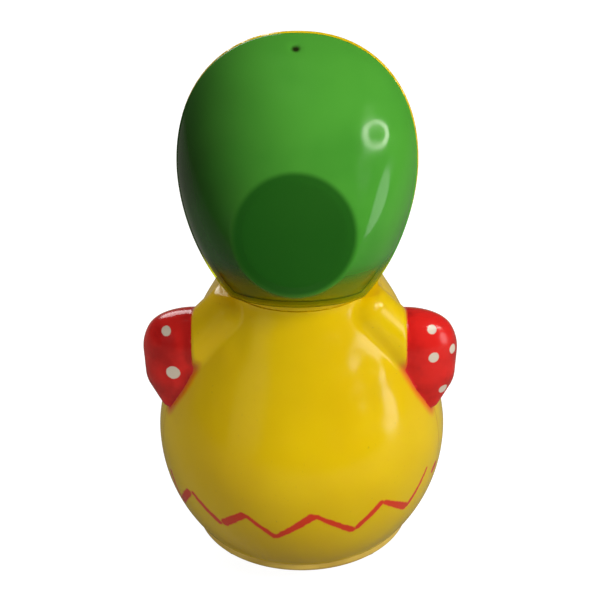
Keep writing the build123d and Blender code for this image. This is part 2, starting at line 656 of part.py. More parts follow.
def train_parts():
    """The second, third and crank arbors with their wheels and pinions."""
    fixed_bore = ARBOR_R + PRESS_GAP
    second = gear(SECOND_AT, SECOND_TEETH, *SECOND_WHEEL_X, fixed_bore, SECOND_PHASE)
    third = gear(THIRD_AT, THIRD_TEETH, *THIRD_WHEEL_X, fixed_bore, THIRD_PHASE)
    pin_at = polar(CRANK_AT, CRANK_THROW, 90)
    disc = along_x(CRANK_AT, CRANK_DISC_R, *CRANK_DISC_X)
    disc = disc - along_x(CRANK_AT, fixed_bore, -12, -5)
    disc = disc - along_x(pin_at, CRANK_PIN_R * 0.7 + PRESS_GAP, -12, -5)
    pin = along_x(pin_at, CRANK_PIN_R * 0.7, CRANK_DISC_X[0], CRANK_DISC_X[1])
    pin = pin + along_x(pin_at, CRANK_PIN_R, CRANK_PIN_END_X, CRANK_DISC_X[0])
    return {
        "second_arbor": along_x(SECOND_AT, ARBOR_R, -ARBOR_END_X, ARBOR_END_X),
        "second_pinion": gear(SECOND_AT, SECOND_PINION_TEETH, *SECOND_PINION_X, fixed_bore,
                              SECOND_PINION_PHASE),
        "second_wheel": lightened(second, SECOND_AT, SECOND_TEETH, *SECOND_WHEEL_X, 1.8),
        "third_arbor": along_x(THIRD_AT, ARBOR_R, -ARBOR_END_X, ARBOR_END_X),
        "third_pinion": gear(THIRD_AT, THIRD_PINION_TEETH, *THIRD_PINION_X, fixed_bore,
                             THIRD_PINION_PHASE),
        "third_wheel": lightened(third, THIRD_AT, THIRD_TEETH, *THIRD_WHEEL_X, 1.8),
        "crank_arbor": along_x(CRANK_AT, ARBOR_R, CRANK_DISC_X[0], ARBOR_END_X),
        "crank_pinion": gear(CRANK_AT, CRANK_PINION_TEETH, *CRANK_PINION_X, fixed_bore,
                             CRANK_PINION_PHASE),
        "crank_disc": disc,
        "crank_pin": pin,
    }


# ---- Foot lever ----
def lever_window():
    """The crank pin's opening in the right arm: (y low, z low, y high, z high)."""
    reach = CRANK_THROW + CRANK_PIN_R + WINDOW_GAP
    dy = CRANK_AT[0] - LEVER_PIVOT[0]
    dz = CRANK_AT[1] - LEVER_PIVOT[1]
    swing = radians(LEVER_SWING)
    swung = (LEVER_PIVOT[0] + dy * cos(swing) + dz * sin(swing),
             LEVER_PIVOT[1] - dy * sin(swing) + dz * cos(swing))
    return (CRANK_AT[0] - reach, CRANK_AT[1] - reach, swung[0] + reach, swung[1] + reach)


def foot_lever():
    """A steel stirrup: two arms on the pivot pin, joined by a plate under the base."""
    y0, z0, y1, z1 = lever_window()
    frame = WINDOW_FRAME
    eye = Pos(*LEVER_PIVOT) * Circle(LEVER_EYE_R)
    shank = make_face(Polyline((ARM_FRONT_Y, FOOT_PLATE_Z[0]), (ARM_REAR_Y, FOOT_PLATE_Z[0]),
                               (ARM_REAR_Y, 8.2), (LEVER_PIVOT[0], LEVER_PIVOT[1] - LEVER_EYE_R),
                               (LEVER_PIVOT[0], LEVER_PIVOT[1] + LEVER_EYE_R),
                               (ARM_REAR_Y, 13.0), (ARM_FRONT_Y, 13.0), close=True))
    window_frame = make_face(Polyline((y0 - frame, z0 - frame), (y1 + frame, z0 - frame),
                                      (y1 + frame, z1 + frame), (y0 - frame, z1 + frame), close=True))
    window = make_face(Polyline((y0, z0), (y1, z0), (y1, z1), (y0, z1), close=True))
    ear = make_face(Polyline((ARM_FRONT_Y, 10.5), (ARM_FRONT_Y, 13.0), (EAR_HOLE[0] - 1.4, 13.0),
                             (EAR_HOLE[0] - 1.4, 10.5), close=True))
    right = plate_along_x(shank + eye + window_frame - window, -LEVER_ARM_X[1], -LEVER_ARM_X[0])
    left = plate_along_x(shank + eye + ear - Pos(*EAR_HOLE) * Circle(EAR_HOLE_R), *LEVER_ARM_X)
    plate = Pos(0, (FOOT_PLATE_Y[0] + FOOT_PLATE_Y[1]) / 2, FOOT_PLATE_Z[0]) * Box(
        2 * LEVER_ARM_X[1], FOOT_PLATE_Y[1] - FOOT_PLATE_Y[0], FOOT_PLATE_Z[1] - FOOT_PLATE_Z[0],
        align=(Align.CENTER, Align.CENTER, Align.MIN))
    lever = left + right + plate
    lever = lever - along_x(LEVER_PIVOT, LEVER_PIN_R + RUNNING_GAP, -12, 12)
    for y in FOOT_RIVET_Y:
        lever = lever - both_sides(Pos(FOOT_RIVET_X, y, FOOT_PLATE_Z[0]) * Cylinder(RIVET_R + PRESS_GAP, 4))
    return lever


def toe(length, spread):
    """One toe from the toe root, turned outwards by spread."""
    slot = SlotCenterToCenter(length, 2 * TOE_R)
    return Pos(FOOT_X, TOE_ROOT_Y) * Rot(0, 0, spread - 90) * Pos(length / 2, 0) * slot


def foot():
    """The left foot: an oval pad, three toes with short webs, and a heel spur."""
    shape = Pos(FOOT_X, FOOT_PAD_Y) * Ellipse(*FOOT_PAD_SEMI)
    shape = shape + toe(TOE_ROOT_Y - TOE_TIP_Y - TOE_R, 0)
    for side in (1, -1):
        shape = shape + toe(SIDE_TOE_LENGTH, side * TOE_SPREAD)
    web_reach = 0.62 * SIDE_TOE_LENGTH
    web_x = web_reach * sin(radians(TOE_SPREAD))
    web_y = TOE_ROOT_Y - web_reach * cos(radians(TOE_SPREAD))
    web = make_face(Polyline((FOOT_X, TOE_ROOT_Y), (FOOT_X + web_x, web_y),
                             (FOOT_X - web_x, web_y), close=True))
    heel_length = HEEL_TIP_Y - TOE_R - FOOT_PAD_Y
    heel = Pos(FOOT_X - 0.8, FOOT_PAD_Y + heel_length / 2) * Rot(0, 0, 90) * SlotCenterToCenter(
        heel_length, 2 * TOE_R)
    slab = extrude(shape + web + heel, FOOT_PLATE_Z[0] - PRESS_GAP)
    for y in FOOT_RIVET_Y:
        slab = slab - Pos(FOOT_RIVET_X, y, 0) * Cylinder(RIVET_R + PRESS_GAP, 8)
        slab = slab - Pos(FOOT_RIVET_X, y, 0) * Cylinder(
            FOOT_RECESS_R, 0.8, align=(Align.CENTER, Align.CENTER, Align.MIN))
    return slab


def foot_rivets():
    """Four rivets that fix the feet to the plate, with heads sunk in the soles."""
    rivets = []
    for y in FOOT_RIVET_Y:
        for side in (1, -1):
            at = Pos(side * FOOT_RIVET_X, y, 0.2)
            shank = at * Cylinder(RIVET_R, 3.2, align=(Align.CENTER, Align.CENTER, Align.MIN))
            head = at * Cylinder(FOOT_RECESS_R - 0.1, 0.58, align=(Align.CENTER, Align.CENTER, Align.MIN))
            tail = Pos(side * FOOT_RIVET_X, y, FOOT_PLATE_Z[1] + PRESS_GAP) * Cylinder(
                1.1, 0.4, align=(Align.CENTER, Align.CENTER, Align.MIN))
            rivets.append(shank + head + tail)
    return Compound(children=rivets)


def foot_return_spring():
    """An extension spring from the left arm's ear up to the post on the left plate."""
    x = (LEVER_ARM_X[0] + LEVER_ARM_X[1]) / 2
    y, ear_z = EAR_HOLE
    low_hook_z = ear_z - 0.05 + HOOK_R
    high_hook_z = SPRING_POST_Z + 0.9 - HOOK_R
    coil_low = low_hook_z + HOOK_R
    coil_high = high_hook_z - HOOK_R
    low_hook = Pos(x, y, low_hook_z) * Rot(90, 0, 0) * Torus(HOOK_R, WIRE_R)
    high_hook = Pos(x, y, high_hook_z) * Rot(0, 90, 0) * Torus(HOOK_R, WIRE_R)
    path = Pos(x, y, coil_low) * Helix(COIL_PITCH, coil_high - coil_low, COIL_R)
    section = Plane(origin=path @ 0, z_dir=path % 0) * Circle(WIRE_R)
    coil = sweep(section, path)
    spring = coil + low_hook + high_hook
    for z in (coil_low, coil_high):
        spring = spring + capsule((x, y, z), (x + COIL_R, y, z), WIRE_R)
    return spring


# ---- Write every piece ----
def build():
    """Make every piece, by node name."""
    front, back = body_shells()
    left_foot = foot()
    pieces = {
        "body_front_shell": front,
        "body_back_shell": back,
        "face_shell": face_shell(),
        "bonnet": bonnet(),
        "beak": beak(),
        "eyes": eyes(),
        "base_plate": base_plate(),
        "base_screws": base_screws(),
        "frame_plate_left": frame_plate(1),
        "frame_plate_right": frame_plate(-1),
        "frame_pillars": frame_pillars(),
        "motor_screws": motor_screws(),
        "mainspring": mainspring(),
        "key_bush": key_bush(),
        "foot_pivot_pin": foot_pivot_pin(),
        "spring_post": spring_post(),
        "foot_return_spring": foot_return_spring(),
        "winding_arbor": winding_arbor(),
        "ratchet_wheel": ratchet_wheel(),
        "winding_key": winding_key(),
        "great_wheel": great_wheel(),
        "click_stud": click_stud(),
        "click_spring": click_spring(),
        "click": click(),
        "foot_lever": foot_lever(),
        "left_foot": left_foot,
        "right_foot": mirror(left_foot, about=Plane.YZ),
        "foot_rivets": foot_rivets(),
    }
    pieces.update(train_parts())
    return pieces


os.makedirs("parts", exist_ok=True)
for node, piece in build().items():
    export_step(piece, f"parts/{node}.step")
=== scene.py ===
"""Looks for the wind-up hopping chick: moulded shells, paint, clockwork metals, light and camera."""

import json
from math import cos, pi, radians, sin

import bpy
import numpy as np
from mathutils import Matrix, Vector


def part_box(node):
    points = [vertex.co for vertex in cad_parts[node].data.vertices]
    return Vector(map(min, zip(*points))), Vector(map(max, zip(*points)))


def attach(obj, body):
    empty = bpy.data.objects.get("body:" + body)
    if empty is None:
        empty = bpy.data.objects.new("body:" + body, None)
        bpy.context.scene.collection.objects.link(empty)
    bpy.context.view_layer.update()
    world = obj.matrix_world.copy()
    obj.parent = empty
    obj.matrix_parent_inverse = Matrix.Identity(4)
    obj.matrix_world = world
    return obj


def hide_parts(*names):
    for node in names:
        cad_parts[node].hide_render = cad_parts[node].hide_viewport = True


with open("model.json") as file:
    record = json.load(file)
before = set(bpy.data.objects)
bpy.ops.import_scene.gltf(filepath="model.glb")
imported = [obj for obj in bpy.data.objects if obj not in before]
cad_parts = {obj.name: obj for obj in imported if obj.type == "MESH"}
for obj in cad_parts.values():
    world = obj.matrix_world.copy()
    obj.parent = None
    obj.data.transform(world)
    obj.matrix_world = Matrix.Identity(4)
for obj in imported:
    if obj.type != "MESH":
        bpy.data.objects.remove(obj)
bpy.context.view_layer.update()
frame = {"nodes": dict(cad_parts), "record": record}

MM = 0.001
scene = bpy.context.scene


# ---- Sizes in millimetres, the same frame as the CAD part ----
WALL = 1.4
BODY_Z = (7.4, 27.0, 41.0, 55.0, 63.4)
BODY_R = (22.3, 29.2, 25.9, 19.8, 16.0)
BODY_SLOPE = (0.75, 0.02, -0.42, -0.46, -0.12)
SEAM_POINT = np.array((0.0, 4.5, 50.0))
SEAM_NORMAL = np.array((0.0, cos(radians(10.0)), sin(radians(10.0))))
SEAM_GAP = 0.05

ARM_SHOULDER = (13.1, 7.5, 58.6)
ARM_WRIST = (19.8, 6.9, 51.4)
ARM_R = (5.7, 5.5)
ARM_FILLET = 1.1
SLEEVE_END = 21.2
SLEEVE_ROUNDING = 0.5

# The wing's middle line from the wrist to its tip, as centre and radius.
WING_LINE = (((22.0, 4.4, 48.5), 9.4), ((23.9, 5.8, 44.2), 7.1), ((26.2, 8.2, 38.2), 1.6))
WING_THIN = 1.45
WING_EVENING = 1.15
WING_CUT = np.array((23.0, 2.5, 57.3))
WING_CUT_NORMAL = np.array((0.12, -0.35, 0.93))
WING_CUT_ROUNDING = 3.5
WING_FILLET = 0.35

# Soft sink marks and swellings in the moulding, as place, radius and depth.
SINKS = (
    ((-12.1, 16.8, 52.4), 3.6, 0.50),
    ((-14.0, 19.8, 44.9), 3.4, 0.40),
    ((-16.5, 15.8, 49.2), 3.0, -0.35),
    ((-18.0, 17.6, 40.5), 5.0, -0.25),
    ((12.5, 15.6, 55.5), 3.0, 0.30),
    ((-6.0, 22.5, 40.0), 7.0, 0.20),
)

BRIM_CENTRE = np.array((0.0, 7.6, 92.1))
BRIM_BACK = np.array((0.0, cos(radians(18.0)), sin(radians(18.0))))
BRIM_UP = np.array((0.0, -sin(radians(18.0)), cos(radians(18.0))))
BRIM_HALF_WIDTH = 22.8
BRIM_TOP = 24.0
BRIM_WIDEST = -0.6
BRIM_LOWER_REACH = 33.0
BRIM_POWERS = (2.2, 1.8)
BRIM_MIDDLE = -2.0
LIP_CORNER = (14.9, -24.3)
LIP_BOTTOM = -28.6
CROWN_W = -11.4
CROWN_N = 15.2
CROWN_R = 11.35
CROWN_TILT = radians(4.0)
CROWN_STEP = 0.45
CROWN_SPREAD = 1.05
CROWN_FLAT = 0.86
WALL_TURN = (radians(18.0), radians(61.0))
BONNET_WALL = 1.2
# The rim band: how far its edge draws in, as a share of the outline, and its height.
RIM_ROUNDING = ((0.0, 0.15), (0.001, 0.55), (0.003, 0.78), (0.007, 0.92))
BAND_SHARE = 0.012
BAND_TOP = 1.0
INNER_RIM = 0.12
GATE_PIT = np.array((0.0, 4.3, 113.4))
GATE_R = 0.9
GATE_DEPTH = 0.7

FACE_CENTRE = np.array((0.0, 4.0, 91.2))
FACE_R = 21.4
FLANGE_PROUD = 0.05
FLANGE_SHIFT = (0.12, 0.22)
FLANGE_HALF = 0.6
FLANGE_ROUNDING = 0.5
FLANGE_FILLET = 0.8
CHIN_FILLET = 4.0
NECK_BOTTOM = (16.0, 63.45)
NECK_TOP = (12.8, 80.0)
NECK_ROUNDING = 1.0
NECK_WALL = 2.6
FACE_WALL = 1.3
SPIGOT_R = 14.5
SPIGOT_SPAN = (58.0, 66.0)

KEY_AT = np.array((0.0, -14.0, 18.2))
KEY_SPAN = (26.6, 29.9)
KEY_HUB_R = 2.2
KEY_REACH = 5.4
KEY_BORE_R = 1.52
KEY_BORE_FLOOR = 0.6
EAR_R = 1.35
EAR_SHIFT = 0.3
EAR_HALF_THICK = 0.65
EAR_SWELL = 0.22

BEAK_ROOT = np.array((0.0, -17.06, 87.4))
BEAK_OUT = np.array((0.0, -0.984, -0.178))
BEAK_UP = np.array((0.0, -0.178, 0.984))
BEAK_LENGTH = 7.5
BEAK_R = 3.9
BEAK_OVERBITE = 1.2
BEAK_PEG_R = 1.6
BEAK_PEG_SPAN = (-2.8, 1.2)
MOUTH_DROP = 0.5
MOUTH_SAG = 0.05
GROOVE_DEPTH = 0.45
GROOVE_HALF = 0.30

FOOT_X = 9.6
FOOT_TOP = 2.17
PAD_Y = -8.5
PAD_HALF = (5.2, 11.0)
HEEL_INSET = 0.8
HEEL_Y = 5.0
TOE_ROOT = np.array((9.6, -10.0))
TOES = ((0.0, 19.8), (22.0, 17.0), (-22.0, 17.0))
TOE_R = (2.2, 1.45, 1.95)
KNUCKLE_SHARE = 0.72
CREASE_Y = -15.5
CREASE_HALF = 0.35
CREASE_DEPTH = 0.16
RIVETS = ((8.2, -12.0), (8.2, -6.0))
RIVET_HOLE_R = 0.73
RIVET_HEAD_R = 1.35
RIVET_HEAD_TOP = 0.8


# ---- Fields: negative inside a solid, in millimetres ----
def smooth_min(a, b, k):
    """The lower of two fields, with the crease between them filleted over k."""
    share = np.clip(0.5 + 0.5 * (b - a) / k, 0, 1)
    return b + (a - b) * share - k * share * (1 - share)


def smooth_max(a, b, k):
    """The higher of two fields, with the edge between them rounded over k."""
    return -smooth_min(-a, -b, k)


def tapered_rod(points, start, end, start_r, end_r):
    """Two balls and the cone that wraps them."""
    start = np.asarray(start, float)
    axis = np.asarray(end, float) - start
    length = np.linalg.norm(axis)
    along = (points - start) @ axis / length
    aside = np.sqrt(np.maximum(((points - start) ** 2).sum(1) - along ** 2, 0))
    lean = (start_r - end_r) / length
    upright = np.sqrt(1 - lean ** 2)
    turned = upright * along - lean * aside
    cone = upright * aside + lean * along - start_r
    first_ball = np.hypot(along, aside) - start_r
    last_ball = np.hypot(along - length, aside) - end_r
    return np.where(turned < 0, first_ball, np.where(turned > upright * length, last_ball, cone))


def mirrored(points):
    """Points folded onto the +X side, for shapes that are the same on both sides."""
    folded = points.copy()
    folded[:, 0] = np.abs(folded[:, 0])
    return folded


def hermite_table(knots, values, slopes, margin):
    """A finely sampled smooth curve through knots, carried a margin past both ends."""
    per_span = 60
    xs = [knots[0] - margin]
    ys = [values[0] - margin * slopes[0]]
    for i in range(len(knots) - 1):
        span = knots[i + 1] - knots[i]
        t = np.linspace(0, 1, per_span, endpoint=False)
        xs.extend(knots[i] + span * t)
        ys.extend((2 * t ** 3 - 3 * t ** 2 + 1) * values[i]
                  + (t ** 3 - 2 * t ** 2 + t) * span * slopes[i]
                  + (-2 * t ** 3 + 3 * t ** 2) * values[i + 1]
                  + (t ** 3 - t ** 2) * span * slopes[i + 1])
    xs.extend([knots[-1], knots[-1] + margin])
    ys.extend([values[-1], values[-1] + margin * slopes[-1]])
    return np.array(xs), np.array(ys)


BODY_CURVE = hermite_table(BODY_Z, BODY_R, BODY_SLOPE, margin=3.0)


def round_body(points):
    """The egg-shaped body, turned about Z."""
    zs, rs = BODY_CURVE
    slope = np.gradient(rs, zs)
    radius = np.interp(points[:, 2], zs, rs)
    lean = np.interp(points[:, 2], zs, slope)
    return (np.hypot(points[:, 0], points[:, 1]) - radius) / np.sqrt(1 + lean ** 2)


def arm_field(points):
    """The short sleeve that swells out of the shoulder and ends flat at the wing."""
    folded = mirrored(points)
    sleeve = tapered_rod(folded, ARM_SHOULDER, ARM_WRIST, *ARM_R)
    return smooth_max(sleeve, folded[:, 0] - SLEEVE_END, SLEEVE_ROUNDING)


def wing_field(points):
    """The wing, a drop flattened front to back, cut nearly level above and pointed below."""
    folded = mirrored(points)
    squash = np.array((1.0, WING_THIN, 1.0))
    drops = [tapered_rod(folded * squash, start * squash, end * squash, start_r, end_r)
             for (start, start_r), (end, end_r) in zip(WING_LINE, WING_LINE[1:])]
    drop = np.minimum(*drops) / WING_EVENING
    return smooth_max(drop, (folded - WING_CUT) @ WING_CUT_NORMAL, WING_CUT_ROUNDING)


def sink_marks(points):
    """How far the moulded surface has sunk at each point."""
    depth = np.zeros(len(points))
    for place, radius, sunk in SINKS:
        depth += sunk * np.exp(-((points - np.array(place)) ** 2).sum(1) / radius ** 2)
    return depth


def body_rest(points):
    """The body and arms without the wings."""
    return smooth_min(round_body(points), arm_field(points), ARM_FILLET) + sink_marks(points)


def body_outer(points):
    """The whole outside of the moulded body."""
    return smooth_min(body_rest(points), wing_field(points), WING_FILLET)


def seam_side(points):
    """Distance behind the plane where the two body shells are joined."""
    return (points - SEAM_POINT) @ SEAM_NORMAL


def shell_fields(back):
    """The fields that bound one body shell; its solid is where all of them are negative."""
    def fields(points):
        outer = body_outer(points)
        side = -seam_side(points) if back else seam_side(points)
        return np.stack([outer, -(outer + WALL), BODY_Z[0] - points[:, 2],
                         points[:, 2] - BODY_Z[-1], side + SEAM_GAP])
    return fields


# ---- Meshing a field: one vertex per cell that the surface crosses ----
CORNERS = np.array([(i, j, k) for i in (0, 1) for j in (0, 1) for k in (0, 1)])
EDGES = [(a, b) for a in range(8) for b in range(a + 1, 8)
         if np.abs(CORNERS[a] - CORNERS[b]).sum() == 1]
SETTLE_ROUNDS = 5
SETTLE_REACH = 0.9
SETTLE_DAMPING = 1e-4


def slopes_of(fields, points):
    """Each field's slope at each point, by small steps."""
    reach = 0.01
    slopes = []
    for axis in range(3):
        step = np.zeros(3)
        step[axis] = reach
        slopes.append((fields(points + step) - fields(points - step)) / (2 * reach))
    return np.stack(slopes, axis=-1)


def settle(fields, points, active, reach):
    """Move points onto every surface that is active at them, so that edges come out sharp."""
    start = points.copy()
    count = active.shape[1]
    for _ in range(SETTLE_ROUNDS):
        level = fields(points).T * active
        slope = np.transpose(slopes_of(fields, points), (1, 0, 2)) * active[:, :, None]
        square = np.einsum("nij,nkj->nik", slope, slope)
        square[:, range(count), range(count)] += np.where(active, SETTLE_DAMPING, 1.0)
        pull = np.linalg.solve(square, level[:, :, None])[:, :, 0]
        points = points - np.einsum("ni,nij->nj", pull, slope)
        points = start + np.clip(points - start, -reach, reach)
    return points


def sample_fields(fields, low, high, step):
    """The highest field at every corner of a grid, and which of the fields it is."""
    counts = np.ceil((high - low) / step).astype(int) + 1
    axes = [low[i] + step * np.arange(counts[i]) for i in range(3)]
    y, z = np.meshgrid(axes[1], axes[2], indexing="ij")
    level = np.empty(counts)
    which = np.empty(counts, np.int8)
    for i, x in enumerate(axes[0]):
        plane = np.stack([np.full(y.size, x), y.ravel(), z.ravel()], axis=1)
        values = fields(plane)
        level[i] = values.max(0).reshape(y.shape)
        which[i] = values.argmax(0).reshape(y.shape)
    return level, which


def crossed_cells(inside):
    """Where the cells that the surface passes through are, and their numbers in a grid of cells."""
    cells = tuple(count - 1 for count in inside.shape)
    filled = np.zeros(cells, np.int8)
    for corner in CORNERS:
        filled += inside[tuple(slice(c, c + n) for c, n in zip(corner, cells))]
    mixed = (filled > 0) & (filled < len(CORNERS))
    where = np.argwhere(mixed)
    index = np.full(cells, -1)
    index[mixed] = np.arange(len(where))
    return where, index


def edge_crossings(level, which, where):
    """The middle of each cell's edge crossings, in cells, and the fields active at them."""
    total = np.zeros((len(where), 3))
    hits = np.zeros(len(where))
    active = np.zeros((len(where), int(which.max()) + 1), bool)
    rows = np.arange(len(where))
    for a, b in EDGES:
        at_a = tuple((where + CORNERS[a]).T)
        at_b = tuple((where + CORNERS[b]).T)
        level_a, level_b = level[at_a], level[at_b]
        cross = (level_a < 0) != (level_b < 0)
        share = np.where(cross, level_a / np.where(cross, level_a - level_b, 1), 0)
        place = CORNERS[a] + share[:, None] * (CORNERS[b] - CORNERS[a])
        total += place * cross[:, None]
        hits += cross
        outside = np.where(level_a > level_b, which[at_a], which[at_b])
        active[rows[cross], outside[cross]] = True
    return where + total / hits[:, None], active


def crossing_quads(inside, index):
    """One face, pointing outwards, for each grid edge that the surface crosses."""
    cells = index.shape
    faces = []
    for axis in range(3):
        u, v = (axis + 1) % 3, (axis + 2) % 3
        lower = [slice(None)] * 3
        upper = [slice(None)] * 3
        lower[axis] = slice(0, -1)
        upper[axis] = slice(1, None)
        start_in, end_in = inside[tuple(lower)], inside[tuple(upper)]
        at = np.argwhere(start_in != end_in)
        at = at[(at[:, u] > 0) & (at[:, v] > 0) & (at[:, u] < cells[u]) & (at[:, v] < cells[v])]
        outwards = start_in[tuple(at.T)]
        ring = []
        for du, dv in ((0, 0), (1, 0), (1, 1), (0, 1)):
            cell = at.copy()
            cell[:, u] -= du
            cell[:, v] -= dv
            ring.append(index[tuple(cell.T)])
        quad = np.stack(ring, axis=1)
        quad[~outwards] = quad[~outwards][:, ::-1]
        faces.append(quad)
    return np.concatenate(faces)


def field_mesh(name, fields, low, high, step):
    """A mesh, in metres, around the solid where every field is negative."""
    low, high = np.array(low, float), np.array(high, float)
    level, which = sample_fields(fields, low, high, step)
    inside = level < 0
    where, index = crossed_cells(inside)
    middles, active = edge_crossings(level, which, where)
    points = settle(lambda p: fields(p)[:active.shape[1]], low + step * middles, active,
                    SETTLE_REACH * step)
    return mesh_from_arrays(name, *largest_island(points, crossing_quads(inside, index)))


def largest_island(points, quads):
    """The biggest connected part of a mesh, without crumbs from very thin edges."""
    label = np.arange(len(points))
    settled = False
    while not settled:
        lowest = label[quads].min(1)
        joined = label.copy()
        np.minimum.at(joined, quads.ravel(), np.repeat(lowest, 4))
        joined = joined[joined]
        settled = np.array_equal(joined, label)
        label = joined
    keep = label == np.bincount(label[quads[:, 0]]).argmax()
    index = np.cumsum(keep) - 1
    return points[keep], index[quads[keep[quads[:, 0]]]]


def mesh_from_arrays(name, points_mm, quads):
    """A smooth-shaded mesh object from millimetre points and four-sided faces."""
    mesh = bpy.data.meshes.new(name)
    mesh.vertices.add(len(points_mm))
    mesh.vertices.foreach_set("co", (points_mm * MM).astype(np.float32).ravel())
    mesh.loops.add(quads.size)
    mesh.loops.foreach_set("vertex_index", quads.astype(np.int32).ravel())
    mesh.polygons.add(len(quads))
    mesh.polygons.foreach_set("loop_start", np.arange(0, quads.size, 4, dtype=np.int32))
    mesh.update(calc_edges=True)
    return smooth_object(mesh, 40)


def linked(name, data):
    """A new object in the scene."""
    thing = bpy.data.objects.new(name, data)
    scene.collection.objects.link(thing)
    return thing


def smooth_object(mesh, sharp_degrees):
    """An object for a new mesh, smooth-shaded except at edges sharper than an angle."""
    mesh.validate()
    mesh.polygons.foreach_set("use_smooth", np.ones(len(mesh.polygons), bool))
    mesh.set_sharp_from_angle(angle=radians(sharp_degrees))
    return linked(mesh.name, mesh)


def points_of(piece):
    """A piece's vertices in millimetres."""
    flat = np.empty(len(piece.data.vertices) * 3, np.float32)
    piece.data.vertices.foreach_get("co", flat)
    return flat.reshape(-1, 3).astype(float) / MM


def set_attribute(piece, name, values):
    """Store one number per vertex for the materials to read."""
    attribute = piece.data.attributes.new(name, "FLOAT", "POINT")
    attribute.data.foreach_set("value", np.asarray(values, np.float32))


# ---- Paint: distances in millimetres that the body material turns into colour ----
LEFT_DOTS = ((26.3, 54.5, 1.05), (25.1, 46.1, 1.45))
RIGHT_DOTS = ((26.2, 54.8, 1.0), (26.6, 49.4, 1.1), (30.4, 49.7, 1.0), (28.6, 41.4, 1.0))
STROKE_LOW = 19.0
STROKE_HIGH = 23.6
STROKE_TURN = 14.2
STROKE_GAP = 1.2
STROKE_HALF_WIDTH = (0.5, 0.75)
FRONT_TURNS = (73.0, 284.0)
BELLY_R = 28.4
FAR = 99.0
# Each hand-sprayed stroke over the back: degrees from the back towards the right, and height, at
# both ends; then half the width at both ends.
BACK_STROKES = (
    (-65.5, 23.2, -61.5, 17.0, 0.4, 0.5),
    (-60.5, 17.0, -51, 22.3, 0.75, 0.8),
    (-48, 23.1, -35, 18.5, 0.45, 0.6),
    (-32, 19.1, -23, 22.8, 0.85, 0.8),
    (-21, 22.9, -10, 18.4, 0.35, 0.55),
    (-9, 18.5, 5, 24.1, 0.5, 0.85),
    (7, 24.2, 22, 19.1, 0.45, 0.7),
    (24, 19.5, 34, 24.2, 0.55, 0.6),
    (36, 24.0, 48, 19.7, 0.45, 0.85),
    (50, 19.6, 61, 25.8, 0.5, 0.25),
    (68, 23.0, 70.5, 23.5, 0.75, 0.75),
)


def front_strokes():
    """Even strokes that carry the zigzag round the front."""
    strokes = []
    start, end = FRONT_TURNS
    count = round((end - start) / STROKE_TURN)
    for i in range(count):
        turn = start + (end - start) * i / count
        low, high = (STROKE_HIGH, STROKE_LOW) if i % 2 else (STROKE_LOW, STROKE_HIGH)
        strokes.append((turn, low, turn + STROKE_TURN - STROKE_GAP, high, *STROKE_HALF_WIDTH))
    return strokes


def surface_point(x, z, behind):
    """The point on a wing at (x, z), seen from behind or from the front."""
    count = 300
    outside_y = 14 if behind else -8
    wing_middle_y = 3.0
    ys = np.linspace(outside_y, wing_middle_y, count)
    line = np.stack([np.full(count, x), ys, np.full(count, z)], axis=1)
    return line[np.argmin(np.abs(body_outer(line)))]


def dots_field(points):
    """Distance outside the nearest dot painted on a wing."""
    nearest = np.full(len(points), FAR)
    for side, dots in ((1, LEFT_DOTS), (-1, RIGHT_DOTS)):
        for x, z, radius in dots:
            for behind in (True, False):
                centre = surface_point(side * x, z, behind)
                nearest = np.minimum(nearest, np.linalg.norm(points - centre, axis=1) - radius)
    return nearest


def zigzag_field(points):
    """Distance outside the painted strokes of the zigzag round the belly."""
    turn = np.degrees(np.arctan2(-points[:, 0], points[:, 1]))
    per_degree = BELLY_R * pi / 180
    nearest = np.full(len(points), FAR)
    for start, low, end, high, start_w, end_w in BACK_STROKES + tuple(front_strokes()):
        offset = (turn - start + 180) % 360 - 180
        spot = np.stack([offset * per_degree, points[:, 2] - low], axis=1)
        stroke = np.array(((end - start) * per_degree, high - low))
        along = np.clip(spot @ stroke / (stroke @ stroke), 0, 1)
        gap = np.linalg.norm(spot - along[:, None] * stroke, axis=1)
        nearest = np.minimum(nearest, gap - (start_w + (end_w - start_w) * along))
    return nearest


